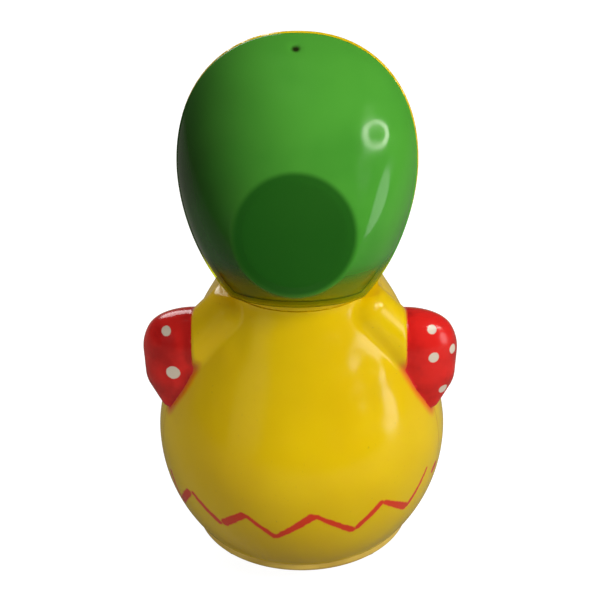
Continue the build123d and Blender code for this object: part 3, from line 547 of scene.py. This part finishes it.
# ---- Materials ----
class Nodes:
    """A short way to wire up one material."""

    def __init__(self, name):
        self.material = bpy.data.materials.new(name)
        self.material.use_nodes = True
        self.tree = self.material.node_tree
        self.shader = self.tree.nodes["Principled BSDF"]
        self.output = self.tree.nodes["Material Output"]
        self.object_space = self.add("ShaderNodeTexCoord").outputs["Object"]

    def add(self, kind, **settings):
        node = self.tree.nodes.new(kind)
        for key, value in settings.items():
            setattr(node, key, value)
        return node

    def feed(self, socket, value):
        """Link a socket to a value that is either another socket or a plain number or colour."""
        if isinstance(value, bpy.types.NodeSocket):
            self.tree.links.new(value, socket)
        elif isinstance(value, (tuple, list)) and len(value) == 3 and socket.type == "RGBA":
            socket.default_value = (*value, 1.0)
        else:
            socket.default_value = value

    def set(self, **inputs):
        for key, value in inputs.items():
            self.feed(self.shader.inputs[key.replace("_", " ")], value)

    def math(self, operation, a, b=0.0, c=0.0):
        node = self.add("ShaderNodeMath", operation=operation)
        for socket, value in zip(node.inputs, (a, b, c)):
            self.feed(socket, value)
        return node.outputs[0]

    def mix(self, share, a, b):
        node = self.add("ShaderNodeMix", data_type="RGBA")
        self.feed(node.inputs[0], share)
        self.feed(node.inputs[6], a)
        self.feed(node.inputs[7], b)
        return node.outputs[2]

    def noise(self, per_metre, detail=2.0, stretch=(1.0, 1.0, 1.0)):
        mapping = self.add("ShaderNodeMapping")
        self.feed(mapping.inputs["Vector"], self.object_space)
        mapping.inputs["Scale"].default_value = stretch
        node = self.add("ShaderNodeTexNoise")
        self.feed(node.inputs["Vector"], mapping.outputs[0])
        node.inputs["Scale"].default_value = per_metre
        node.inputs["Detail"].default_value = detail
        return node.outputs["Fac"]

    def ramp(self, value, start, end, low=0.0, high=1.0):
        """A smooth step from low to high as value goes from start to end."""
        node = self.add("ShaderNodeMapRange", interpolation_type="SMOOTHSTEP")
        for socket, number in zip(node.inputs, (value, start, end, low, high)):
            self.feed(socket, number)
        return node.outputs[0]

    def attribute(self, name):
        return self.add("ShaderNodeAttribute", attribute_name=name).outputs["Fac"]

    def bump(self, height, strength, distance):
        node = self.add("ShaderNodeBump")
        node.inputs["Strength"].default_value = strength
        node.inputs["Distance"].default_value = distance
        self.feed(node.inputs["Height"], height)
        return node.outputs[0]


YELLOW = (0.83, 0.56, 0.0)
YELLOW_DEEP = (0.77, 0.50, 0.0)
RED = (0.75, 0.016, 0.012)
RED_DEEP = (0.50, 0.006, 0.005)
WHITE = (0.72, 0.62, 0.50)
# The first two bonnet greens are painted shade and painted light, laid on by side and height.
GREEN_PAINTED_SHADE = (0.016, 0.065, 0.007)
GREEN_PAINTED_LIGHT = (0.105, 0.47, 0.045)
GREEN_CLOUD = (0.025, 0.24, 0.015)
# Painted shade for the bonnet's crown.
GREEN_CROWN_PAINTED_SHADE = (0.010, 0.105, 0.006)
# Painted shade for the gate pit.
GATE_PIT_PAINTED_SHADE = (0.02, 0.03, 0.004)
LIP_CLEAR = (0.90, 0.92, 0.08)
ORANGE = (0.85, 0.20, 0.01)
SPECK = (0.35, 0.2, 0.02)
SEAM_SHADE = (0.55, 0.22, 0.01)


def gloss(nodes, colour, roughness=0.16, wave=0.35):
    """Moulded glossy plastic: faint waves, hairline scuffs and uneven polish."""
    waves = nodes.noise(90.0, 1.0)
    scuffs = nodes.noise(900.0, 4.0, (1.0, 1.0, 0.15))
    polish = nodes.ramp(nodes.noise(260.0, 3.0), 0.45, 0.75, roughness, roughness + 0.10)
    height = nodes.math("MULTIPLY_ADD", scuffs, 0.02, waves)
    nodes.set(Base_Color=colour, Roughness=polish, IOR=1.5,
              Normal=nodes.bump(height, wave, 0.0004))


def yellow_plastic(name, painted):
    """The yellow body plastic, with its sprayed wings, dots, zigzag and seam where painted."""
    nodes = Nodes(name)
    colour = nodes.mix(nodes.ramp(nodes.noise(45.0, 2.0), 0.35, 0.7), YELLOW, YELLOW_DEEP)
    specks = nodes.ramp(nodes.noise(1500.0, 2.0), 0.70, 0.78)
    colour = nodes.mix(nodes.math("MULTIPLY", specks, 0.25), colour, SPECK)
    if painted:
        ragged = nodes.math("MULTIPLY_ADD", nodes.noise(900.0, 3.0), 0.5, -0.25)
        wing = nodes.math("ADD", nodes.attribute("wing"), nodes.math("MULTIPLY", ragged, 0.5))
        spray = nodes.ramp(wing, 2.4, 0.0, 0.0, 0.75)
        colour = nodes.mix(spray, colour, RED)
        red = nodes.mix(nodes.ramp(nodes.noise(140.0, 3.0), 0.35, 0.65), RED, RED_DEEP)
        colour = nodes.mix(nodes.ramp(wing, 0.12, -0.05), colour, red)
        dots = nodes.math("ADD", nodes.attribute("dots"), nodes.math("MULTIPLY", ragged, 0.5))
        colour = nodes.mix(nodes.ramp(dots, 0.12, -0.12), colour, WHITE)
        zigzag = nodes.math("ADD", nodes.attribute("zigzag"), ragged)
        colour = nodes.mix(nodes.ramp(zigzag, 0.30, -0.12, 0.0, 0.95), colour, RED)
        seam = nodes.math("ABSOLUTE", nodes.attribute("seam"))
        colour = nodes.mix(nodes.ramp(seam, 0.22, 0.05, 0.0, 0.55), colour, SEAM_SHADE)
    gloss(nodes, colour)
    nodes.set(Subsurface_Weight=0.08, Subsurface_Radius=(1.0, 0.6, 0.1), Subsurface_Scale=0.002)
    return nodes.material


def green_colour(nodes):
    """Green with painted light on the toy's right and high up and painted shade on its left and low down,
    clouded at random, with painted shade on the crown and in the gate pit.
    """
    place = nodes.add("ShaderNodeSeparateXYZ")
    nodes.feed(place.inputs[0], nodes.object_space)
    rightwards = nodes.math("MULTIPLY", place.outputs[0], -1.0)
    # Painted light and shade: the green turns lighter towards the toy's right and upwards, and darker
    # towards its left and downwards.
    painted_light = nodes.math("MULTIPLY_ADD", place.outputs[2], 0.45, rightwards)
    painted_light = nodes.math("MULTIPLY_ADD", nodes.noise(50.0, 2.0), 0.006, painted_light)
    colour = nodes.mix(nodes.ramp(painted_light, 0.022, 0.055), GREEN_PAINTED_SHADE, GREEN_PAINTED_LIGHT)
    cloud = nodes.ramp(nodes.noise(42.0, 3.0), 0.42, 0.75, 0.0, 0.40)
    colour = nodes.mix(cloud, colour, GREEN_CLOUD)
    # Painted shade: the crown is darkened inside its edge, where the crown attribute falls below one.
    crown = nodes.ramp(nodes.attribute("crown"), 1.06, 0.94, 0.0, 0.85)
    colour = nodes.mix(crown, colour, GREEN_CROWN_PAINTED_SHADE)
    # Painted shade: a near-black spot in the gate pit.
    pit = nodes.add("ShaderNodeVectorMath", operation="DISTANCE")
    nodes.feed(pit.inputs[0], nodes.object_space)
    pit.inputs[1].default_value = tuple(GATE_PIT * MM)
    return nodes.mix(nodes.ramp(pit.outputs["Value"], 0.0012, 0.0003), colour, GATE_PIT_PAINTED_SHADE)


def green_plastic():
    """Thin green plastic that lets light through, clearest at the lower lip."""
    nodes = Nodes("green_plastic")
    colour = green_colour(nodes)
    gloss(nodes, colour, 0.10, 0.25)
    clear = nodes.add("ShaderNodeBsdfTransparent")
    nodes.feed(clear.inputs["Color"], LIP_CLEAR)
    glow = nodes.add("ShaderNodeBsdfTranslucent")
    nodes.feed(glow.inputs["Color"], colour)
    glowing = nodes.add("ShaderNodeMixShader")
    glowing.inputs[0].default_value = 0.25
    nodes.tree.links.new(nodes.shader.outputs[0], glowing.inputs[1])
    nodes.tree.links.new(glow.outputs[0], glowing.inputs[2])
    thin = nodes.add("ShaderNodeMixShader")
    lip = nodes.math("MULTIPLY", nodes.ramp(nodes.attribute("height"), -16.5, -22.0),
                     nodes.ramp(nodes.attribute("crown"), 1.0, 1.08))
    nodes.feed(thin.inputs[0], nodes.math("MULTIPLY_ADD", lip, 0.70, 0.06))
    nodes.tree.links.new(glowing.outputs[0], thin.inputs[1])
    nodes.tree.links.new(clear.outputs[0], thin.inputs[2])
    nodes.tree.links.new(thin.outputs[0], nodes.output.inputs["Surface"])
    return nodes.material


def plain_plastic(name, colour, deep, roughness):
    """One-colour moulded plastic, darker in patches."""
    nodes = Nodes(name)
    gloss(nodes, nodes.mix(nodes.ramp(nodes.noise(120.0, 3.0), 0.35, 0.7), colour, deep), roughness)
    return nodes.material


def metal(name, colour, tarnish, roughness):
    """Stamped or drawn metal with a fine brushed grain and duller patches."""
    nodes = Nodes(name)
    patches = nodes.ramp(nodes.noise(180.0, 4.0), 0.40, 0.75)
    grain = nodes.noise(1200.0, 3.0, (0.08, 1.0, 1.0))
    nodes.set(Base_Color=nodes.mix(patches, colour, tarnish), Metallic=1.0,
              Roughness=nodes.math("MULTIPLY_ADD", grain, 0.25, roughness),
              Normal=nodes.bump(grain, 0.15, 0.0002))
    return nodes.material


materials = {
    "yellow_plastic": yellow_plastic("yellow_plastic", False),
    "painted_plastic": yellow_plastic("painted_plastic", True),
    "green_plastic": green_plastic(),
    "orange_plastic": plain_plastic("orange_plastic", ORANGE, (0.70, 0.13, 0.01), 0.22),
    "black_plastic": plain_plastic("black_plastic", (0.012, 0.012, 0.014), (0.03, 0.03, 0.03), 0.08),
    "base_plastic": plain_plastic("base_plastic", (0.80, 0.55, 0.10), (0.62, 0.40, 0.06), 0.30),
    "bush_plastic": plain_plastic("bush_plastic", (0.75, 0.72, 0.62), (0.60, 0.56, 0.46), 0.45),
    "steel": metal("steel", (0.62, 0.63, 0.65), (0.40, 0.39, 0.38), 0.25),
    "spring_steel": metal("spring_steel", (0.20, 0.23, 0.30), (0.10, 0.10, 0.12), 0.22),
    "brass": metal("brass", (0.82, 0.58, 0.22), (0.52, 0.34, 0.12), 0.24),
    "key_steel": metal("key_steel", (0.80, 0.80, 0.82), (0.60, 0.58, 0.55), 0.12),
}

slot_of = {row["node"]: row["material_slot"] for row in frame["record"]["subparts"]}
for node_name, node in frame["nodes"].items():
    node.data.materials.clear()
    node.data.materials.append(materials[slot_of[node_name]])


def finish_piece(piece, material, body, node):
    """Paint a new piece, put it on its body and let it stand for a CAD node."""
    piece.data.materials.append(materials[material])
    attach(piece, body)
    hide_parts(node)


def box_around(node, margin):
    """A node's box at rest in millimetres, with a margin on every side."""
    low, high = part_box(node)
    return np.array(low) / MM - margin, np.array(high) / MM + margin


# ---- Body shells ----
def body_shell(name, back):
    """One half of the moulded body, hollow, with its paint distances."""
    step = 0.5
    piece = field_mesh(name + "_visual", shell_fields(back), *box_around(name, 1.0), step)
    points = points_of(piece)
    set_attribute(piece, "wing", wing_field(points) - body_rest(points))
    set_attribute(piece, "dots", dots_field(points))
    set_attribute(piece, "zigzag", zigzag_field(points))
    set_attribute(piece, "seam", seam_side(points))
    finish_piece(piece, "painted_plastic", "casing", name)


body_shell("body_front_shell", False)
body_shell("body_back_shell", True)


# ---- Head ----
def brim_outline(count):
    """The egg-shaped brim as (across, up) points, evenly spread in angle about its middle."""
    turn = np.linspace(0, 2 * pi, 2000, endpoint=False)
    c, s = np.cos(turn), np.sin(turn)
    power = np.where(s >= 0, *BRIM_POWERS)
    reach = np.where(s >= 0, BRIM_TOP - BRIM_WIDEST, BRIM_LOWER_REACH)
    radius = (np.abs(c / BRIM_HALF_WIDTH) ** power + np.abs(s / reach) ** power) ** (-1 / power)
    across, up = radius * c, BRIM_WIDEST + radius * s
    drop = LIP_CORNER[1] - LIP_BOTTOM
    lip = LIP_CORNER[1] - drop * np.sqrt(np.clip(1 - (across / LIP_CORNER[0]) ** 2, 0, 1))
    up = np.where(up < LIP_CORNER[1], np.maximum(up, lip), up)
    angle = np.unwrap(np.arctan2(up - BRIM_MIDDLE, across))
    wanted = np.linspace(0, 2 * pi, count, endpoint=False) + angle[0]
    angle = np.append(angle, angle[0] + 2 * pi)
    across = np.append(across, across[0])
    up = np.append(up, up[0])
    return np.interp(wanted, angle, across), np.interp(wanted, angle, up)


def on_brim(across, up, back):
    """Points placed by distances across, up and behind the brim plane."""
    return (BRIM_CENTRE + across[..., None] * np.array((1.0, 0.0, 0.0))
            + up[..., None] * BRIM_UP + back[..., None] * BRIM_BACK)


def bonnet_rings(count):
    """Rings of points over the bonnet: its rim band, domed wall, crown step and flat crown."""
    across, up = brim_outline(count)
    turn = np.linspace(0, 2 * pi, count, endpoint=False)
    crown_across = CROWN_R * np.cos(turn)
    crown_up = CROWN_W + CROWN_R * np.sin(turn) * cos(CROWN_TILT)
    crown_back = CROWN_N - CROWN_R * np.sin(turn) * sin(CROWN_TILT)

    def crown_ring(scale, lift):
        """The crown's outline, scaled about its middle and lifted off it."""
        return (crown_across * scale, CROWN_W + (crown_up - CROWN_W) * scale,
                CROWN_N + (crown_back - CROWN_N) * scale + lift)

    rings = [(across * (1 - share), up * (1 - share), np.full(count, back))
             for share, back in RIM_ROUNDING]
    start_across, start_up = across * (1 - BAND_SHARE), up * (1 - BAND_SHARE)
    end_across, end_up, _ = crown_ring(CROWN_SPREAD, 0.0)
    first, last = WALL_TURN
    for turned in np.linspace(first, last, 44):
        rise = (sin(turned) - sin(first)) / (sin(last) - sin(first))
        inward = (cos(first) - cos(turned)) / (cos(first) - cos(last))
        rings.append((start_across + (end_across - start_across) * inward,
                      start_up + (end_up - start_up) * inward,
                      BAND_TOP + (crown_back - BAND_TOP) * rise))
    for angle in np.linspace(0, pi / 2, 9)[1:]:
        scale = CROWN_SPREAD - (CROWN_SPREAD - CROWN_FLAT) * sin(angle)
        rings.append(crown_ring(scale, CROWN_STEP * sin(angle)))
    for share in np.linspace(1, 0, 12)[1:-1]:
        rings.append(crown_ring(CROWN_FLAT * share, CROWN_STEP))
    return np.stack([on_brim(*ring) for ring in rings])


def bonnet_piece():
    """The bonnet as one thin closed cup, with the moulding's gate pit at its top."""
    outer = bonnet_rings(288)
    pit = np.linalg.norm(outer - GATE_PIT, axis=2)
    outer -= GATE_DEPTH * np.exp(-(pit / GATE_R) ** 2)[..., None] * BRIM_BACK
    centre = on_brim(np.array(0.0), np.array(CROWN_W), np.array(CROWN_N + CROWN_STEP))
    piece = cup_mesh("bonnet_visual", outer, centre)
    offset = points_of(piece) - BRIM_CENTRE
    up = offset @ BRIM_UP
    set_attribute(piece, "crown", np.hypot(offset[:, 0], up - CROWN_W) / CROWN_R)
    set_attribute(piece, "height", up)
    return piece


def cup_mesh(name, outer, centre):
    """A closed cup from rings of outer points that end at a centre, thickened inwards."""
    rings, count = outer.shape[:2]
    along = np.gradient(outer, axis=0)
    around = np.roll(outer, -1, axis=1) - np.roll(outer, 1, axis=1)
    normal = np.cross(around, along)
    normal /= np.maximum(np.linalg.norm(normal, axis=2, keepdims=True), 1e-9)
    middle = rings // 2
    if normal[middle, 0] @ (outer[middle, 0] - BRIM_CENTRE) < 0:
        normal = -normal
    inner = outer - BONNET_WALL * normal
    back = (inner - BRIM_CENTRE) @ BRIM_BACK
    inner += np.maximum(INNER_RIM - back, 0)[..., None] * BRIM_BACK
    points = np.concatenate([outer.reshape(-1, 3), inner.reshape(-1, 3),
                             [centre, centre - BONNET_WALL * BRIM_BACK]])
    mesh = bpy.data.meshes.new(name)
    mesh.from_pydata([tuple(p) for p in points * MM], [], cup_faces(rings, count))
    return smooth_object(mesh, 50)


def cup_faces(rings, count):
    """Faces over outer and inner rings of points, closed at the rim and at both centres."""
    faces = []
    size = rings * count
    for ring in range(rings - 1):
        for i in range(count):
            a, b = ring * count + i, ring * count + (i + 1) % count
            c, d = a + count, b + count
            faces.append((a, c, d, b))
            faces.append((size + a, size + b, size + d, size + c))
    last = (rings - 1) * count
    for i in range(count):
        j = (i + 1) % count
        faces.append((last + j, last + i, 2 * size))
        faces.append((size + last + i, size + last + j, 2 * size + 1))
        faces.append((i, j, size + j, size + i))
    return faces


finish_piece(bonnet_piece(), "green_plastic", "casing", "bonnet")


def outline_table():
    """The brim outline as its distance from its middle at each angle."""
    across, up = brim_outline(720)
    angle = np.arctan2(up - BRIM_MIDDLE, across)
    order = np.argsort(angle)
    return angle[order], np.hypot(across, up - BRIM_MIDDLE)[order]


OUTLINE_TABLE = outline_table()


def face_fields(points):
    """The head front: a dome, its rim flange, a neck and a spigot into the body."""
    offset = points - BRIM_CENTRE
    back = offset @ BRIM_BACK
    across, up = points[:, 0], offset @ BRIM_UP - BRIM_MIDDLE
    radius = np.interp(np.arctan2(up, across), *OUTLINE_TABLE, period=2 * pi)
    proud = np.hypot(across + FLANGE_SHIFT[0], up - FLANGE_SHIFT[1]) - radius - FLANGE_PROUD
    flange = smooth_max(proud, np.abs(back + FLANGE_HALF) - FLANGE_HALF, FLANGE_ROUNDING)
    dome = np.linalg.norm(points - FACE_CENTRE, axis=1) - FACE_R
    spread = np.hypot(points[:, 0], points[:, 1])
    height = points[:, 2]
    lean = (NECK_BOTTOM[0] - NECK_TOP[0]) / (NECK_TOP[1] - NECK_BOTTOM[1])
    cone = (spread - NECK_BOTTOM[0] + (height - NECK_BOTTOM[1]) * lean) / np.hypot(1, lean)
    neck = smooth_max(cone, height - NECK_TOP[1], NECK_ROUNDING)
    head = smooth_min(dome, neck, CHIN_FILLET)
    front = smooth_min(np.maximum(head, back), flange, FLANGE_FILLET)
    upper = np.maximum(front, NECK_BOTTOM[1] - height)
    spigot = np.maximum(spread - SPIGOT_R, np.maximum(SPIGOT_SPAN[0] - height, height - SPIGOT_SPAN[1]))
    solid = np.minimum(upper, spigot)
    bore = np.maximum(cone + NECK_WALL, spread - SPIGOT_R + FACE_WALL)
    hollow = smooth_min(dome + FACE_WALL, np.maximum(bore, height - NECK_TOP[1]), NECK_ROUNDING)
    return np.stack([solid, -hollow])


def face_piece():
    """The head front as a mesh."""
    step = 0.45
    piece = field_mesh("face_shell_visual", face_fields, *box_around("face_shell", 1.0), step)
    finish_piece(piece, "yellow_plastic", "casing", "face_shell")


face_piece()


# ---- Beak, feet and key ----
def field_piece(node, fields, material, body, step):
    """A piece meshed from its fields inside a CAD node's box, in place of that node."""
    piece = field_mesh(node + "_visual", fields, *box_around(node, 0.6), step)
    finish_piece(piece, material, body, node)


def key_fields(points):
    """A hub with two rounded, slightly waisted ears."""
    offset = points - KEY_AT
    middle = (KEY_SPAN[0] + KEY_SPAN[1]) / 2
    half = (KEY_SPAN[1] - KEY_SPAN[0]) / 2
    spread = np.hypot(offset[:, 1], offset[:, 2])
    hub = smooth_max(spread - KEY_HUB_R, np.abs(points[:, 0] - middle) - half, 0.6)
    reach = np.abs(offset[:, 2])
    outline = np.hypot(points[:, 0] - middle - EAR_SHIFT, np.maximum(reach - (KEY_REACH - EAR_R), 0)) - EAR_R
    thick = EAR_HALF_THICK + EAR_SWELL * np.clip(reach / KEY_REACH, 0, 1) ** 2
    ears = smooth_max(outline, np.abs(offset[:, 1]) - thick, 0.5)
    bore = np.maximum(spread - KEY_BORE_R, points[:, 0] - KEY_SPAN[1] + KEY_BORE_FLOOR)
    return np.stack([smooth_min(hub, ears, 0.8), -bore])


def beak_fields(points):
    """A short blunt beak with a slightly longer upper half, a mouth groove and a peg."""
    offset = points - BEAK_ROOT
    out, up = offset @ BEAK_OUT, offset @ BEAK_UP
    round_r = np.hypot(points[:, 0], up)
    mouth = up + MOUTH_DROP - MOUTH_SAG * points[:, 0] ** 2
    reach = np.where(mouth > 0, BEAK_LENGTH, BEAK_LENGTH - BEAK_OVERBITE)
    share = np.clip(out / reach, -0.3, 1.2)
    radius = BEAK_R * np.sqrt(np.clip(1.0 - share, 0, None)) * (0.95 - 0.22 * share)
    groove = GROOVE_DEPTH * np.exp(-(mouth / GROOVE_HALF) ** 2)
    cone = smooth_max((round_r - radius + groove) * 0.75, out - reach, 0.6)
    dome = np.linalg.norm(points - FACE_CENTRE, axis=1) - FACE_R
    peg = np.maximum(round_r - BEAK_PEG_R, np.maximum(BEAK_PEG_SPAN[0] - out, out - BEAK_PEG_SPAN[1]))
    return np.minimum(np.maximum(cone, -dome), peg)[None]


def rod_2d(spots, start, end, start_r, end_r):
    """A round-ended bar in plan."""
    start, end = (np.append(np.asarray(v, float), 0.0) for v in (start, end))
    return tapered_rod(np.column_stack([spots, np.zeros(len(spots))]), start, end, start_r, end_r)


def foot_plan(spots):
    """A foot seen from above: an oval pad, a heel spur and three webbed toes with round pads."""
    half_width, half_length = PAD_HALF
    reach = np.hypot((spots[:, 0] - FOOT_X) / half_width, (spots[:, 1] - PAD_Y) / half_length)
    pad = (reach - 1) * half_width
    heel_x = FOOT_X - HEEL_INSET
    plan = smooth_min(pad, rod_2d(spots, (heel_x, PAD_Y), (heel_x, HEEL_Y), 2.0, 1.9), 1.0)
    root_r, knuckle_r, tip_r = TOE_R
    for spread, length in TOES:
        aim = np.array((sin(radians(spread)), -cos(radians(spread))))
        tip = TOE_ROOT + aim * length
        knuckle = TOE_ROOT + aim * length * KNUCKLE_SHARE
        plan = smooth_min(plan, rod_2d(spots, TOE_ROOT, knuckle, root_r, knuckle_r), 2.6)
        plan = smooth_min(plan, rod_2d(spots, knuckle, tip, knuckle_r, tip_r), 0.8)
    return plan


def foot_fields(points):
    """A foot with rounded edges, a crease across its toes and holes for its rivets."""
    spots = np.column_stack([np.abs(points[:, 0]), points[:, 1]])
    height = points[:, 2]
    crease = CREASE_DEPTH * np.exp(-((spots[:, 1] - CREASE_Y) / CREASE_HALF) ** 2)
    solid = smooth_max(foot_plan(spots), height - FOOT_TOP + crease, 1.3)
    solid = smooth_max(solid, -height, 0.4)
    holes = np.full(len(points), FAR)
    for x, y in RIVETS:
        spread = np.hypot(spots[:, 0] - x, spots[:, 1] - y)
        head = np.maximum(spread - RIVET_HEAD_R, height - RIVET_HEAD_TOP)
        holes = np.minimum(holes, np.minimum(spread - RIVET_HOLE_R, head))
    return np.stack([solid, -holes])


field_piece("winding_key", key_fields, "key_steel", "winding_side", 0.2)
field_piece("beak", beak_fields, "orange_plastic", "casing", 0.2)
for side in ("left", "right"):
    field_piece(side + "_foot", foot_fields, "orange_plastic", "foot_side", 0.35)


# ---- Stage, light and camera, in metres ----
TOY_MIDDLE = (0, 0, 0.06)
FLOOR_REACH = 3.0
FLOOR_GLOW = 0.95
SKY_LEVEL = 0.20
SKY_IN_REFLECTIONS = 0.06
KEY_PLACE = (-0.34, 0.26, 0.34)
TOP_PLACE = (0.05, 0.10, 0.62)
FILL_PLACE = (0.34, 0.34, 0.14)
WINDOW_PLACE = (-0.48, 0.12, 0.09)
FRONT_PLACE = (0.25, -0.55, 0.35)
RING_PLACE = (-0.417, 0.123, 0.339)
RING_ACROSS = (-0.066, -0.090, -0.070)
RING_UP = (0.005, -0.028, 0.021)
RING_BAND = (0.80, 1.20)
RING_HALF_THICK = 0.003


def aim_at_toy(lamp, place):
    """Put a lamp at a place and turn it to face the toy's middle."""
    lamp.location = place
    lamp.rotation_euler = (Vector(TOY_MIDDLE) - Vector(place)).to_track_quat("-Z", "Y").to_euler()


def area_light(name, place, size, power, glossy=True):
    """A soft round light aimed at the toy."""
    light = bpy.data.lights.new(name, "AREA")
    light.shape = "DISK"
    light.size = size
    light.energy = power
    lamp = linked(name, light)
    aim_at_toy(lamp, place)
    lamp.visible_glossy = glossy


def ring_lamp(centre, across, up, strength):
    """A glowing oval ring that shows only as a reflection in glossy surfaces."""
    centre, across, up = (np.array(v) for v in (centre, across, up))
    off = np.cross(across, up)
    off *= RING_HALF_THICK / np.linalg.norm(off)
    inner, outer = RING_BAND
    count = 72
    spots = []
    for turn in np.linspace(0, 2 * pi, count, endpoint=False):
        spoke = across * cos(turn) + up * sin(turn)
        for share, side in ((inner, 1), (outer, 1), (outer, -1), (inner, -1)):
            spots.append(centre + spoke * share + off * side)
    faces = []
    for i in range(count):
        for k in range(4):
            here, after = 4 * i, 4 * ((i + 1) % count)
            faces.append((here + k, here + (k + 1) % 4, after + (k + 1) % 4, after + k))
    mesh = bpy.data.meshes.new("ring_lamp")
    mesh.from_pydata([tuple(spot) for spot in spots], [], faces)
    lamp = linked("ring_lamp", mesh)
    nodes = Nodes("ring_glow")
    nodes.set(Base_Color=(0.0, 0.0, 0.0), Emission_Color=(1.0, 0.97, 0.90), Emission_Strength=strength)
    mesh.materials.append(nodes.material)
    lamp.visible_camera = False
    lamp.visible_diffuse = False
    lamp.visible_shadow = False


def seen_by_camera(nodes):
    """One where the camera looks straight at a surface, and zero for light bounced off it."""
    return nodes.add("ShaderNodeLightPath").outputs["Is Camera Ray"]


def build_floor():
    """A pale floor that shows almost white to the camera."""
    mesh = bpy.data.meshes.new("floor")
    corners = [(x * FLOOR_REACH, y * FLOOR_REACH, 0) for x, y in ((-1, -1), (1, -1), (1, 1), (-1, 1))]
    mesh.from_pydata(corners, [], [(0, 1, 2, 3)])
    floor = linked("floor", mesh)
    nodes = Nodes("floor_paper")
    nodes.set(Base_Color=nodes.mix(nodes.noise(8.0, 2.0), (0.27, 0.26, 0.23), (0.30, 0.29, 0.26)),
              Roughness=0.9, Specular_IOR_Level=0.0, Emission_Color=(1.0, 1.0, 1.0),
              Emission_Strength=nodes.math("MULTIPLY", seen_by_camera(nodes), FLOOR_GLOW))
    mesh.materials.append(nodes.material)


def build_sky():
    """A sky that is white to the camera, dim to the toy and dimmer still in reflections."""
    world = bpy.data.worlds.new("studio")
    world.use_nodes = True
    tree = world.node_tree
    path = tree.nodes.new("ShaderNodeLightPath")
    dim = tree.nodes.new("ShaderNodeMapRange")
    dim.inputs["To Min"].default_value = SKY_LEVEL
    dim.inputs["To Max"].default_value = SKY_IN_REFLECTIONS
    level = tree.nodes.new("ShaderNodeMapRange")
    level.inputs["To Max"].default_value = 1.0
    tree.links.new(path.outputs["Is Glossy Ray"], dim.inputs["Value"])
    tree.links.new(path.outputs["Is Camera Ray"], level.inputs["Value"])
    tree.links.new(dim.outputs[0], level.inputs["To Min"])
    tree.links.new(level.outputs[0], tree.nodes["Background"].inputs["Strength"])
    tree.nodes["Background"].inputs["Color"].default_value = (1.0, 1.0, 1.0, 1.0)
    scene.world = world


def build_lights():
    """Soft light from high on the camera's right, and the lamps that the gloss reflects."""
    area_light("key", KEY_PLACE, 0.16, 1.9, glossy=False)
    ring_lamp(RING_PLACE, RING_ACROSS, RING_UP, 15.0)
    area_light("top", TOP_PLACE, 0.30, 0.5, glossy=False)
    area_light("fill", FILL_PLACE, 0.25, 0.42, glossy=False)
    area_light("window", WINDOW_PLACE, 0.20, 0.30)
    area_light("front", FRONT_PLACE, 0.40, 1.6)


def build_camera():
    """The camera behind and above the toy, a little to its right."""
    target = Vector((0.0, 0.0, 0.0566))
    distance = 0.45
    azimuth, elevation, roll = radians(181.7), radians(31.0), radians(0.8)
    away = Vector((sin(azimuth) * cos(elevation), -cos(azimuth) * cos(elevation), sin(elevation)))
    data = bpy.data.cameras.new("camera")
    data.lens = 135.0
    data.sensor_width = 36.0
    data.clip_start = 0.01
    camera = linked("camera", data)
    place = Matrix.Translation(target + away * distance)
    facing = (-away).to_track_quat("-Z", "Y").to_matrix().to_4x4()
    camera.matrix_world = place @ facing @ Matrix.Rotation(-roll, 4, "Z")
    scene.camera = camera


build_floor()
build_sky()
build_lights()
build_camera()
scene.view_settings.view_transform = "Standard"
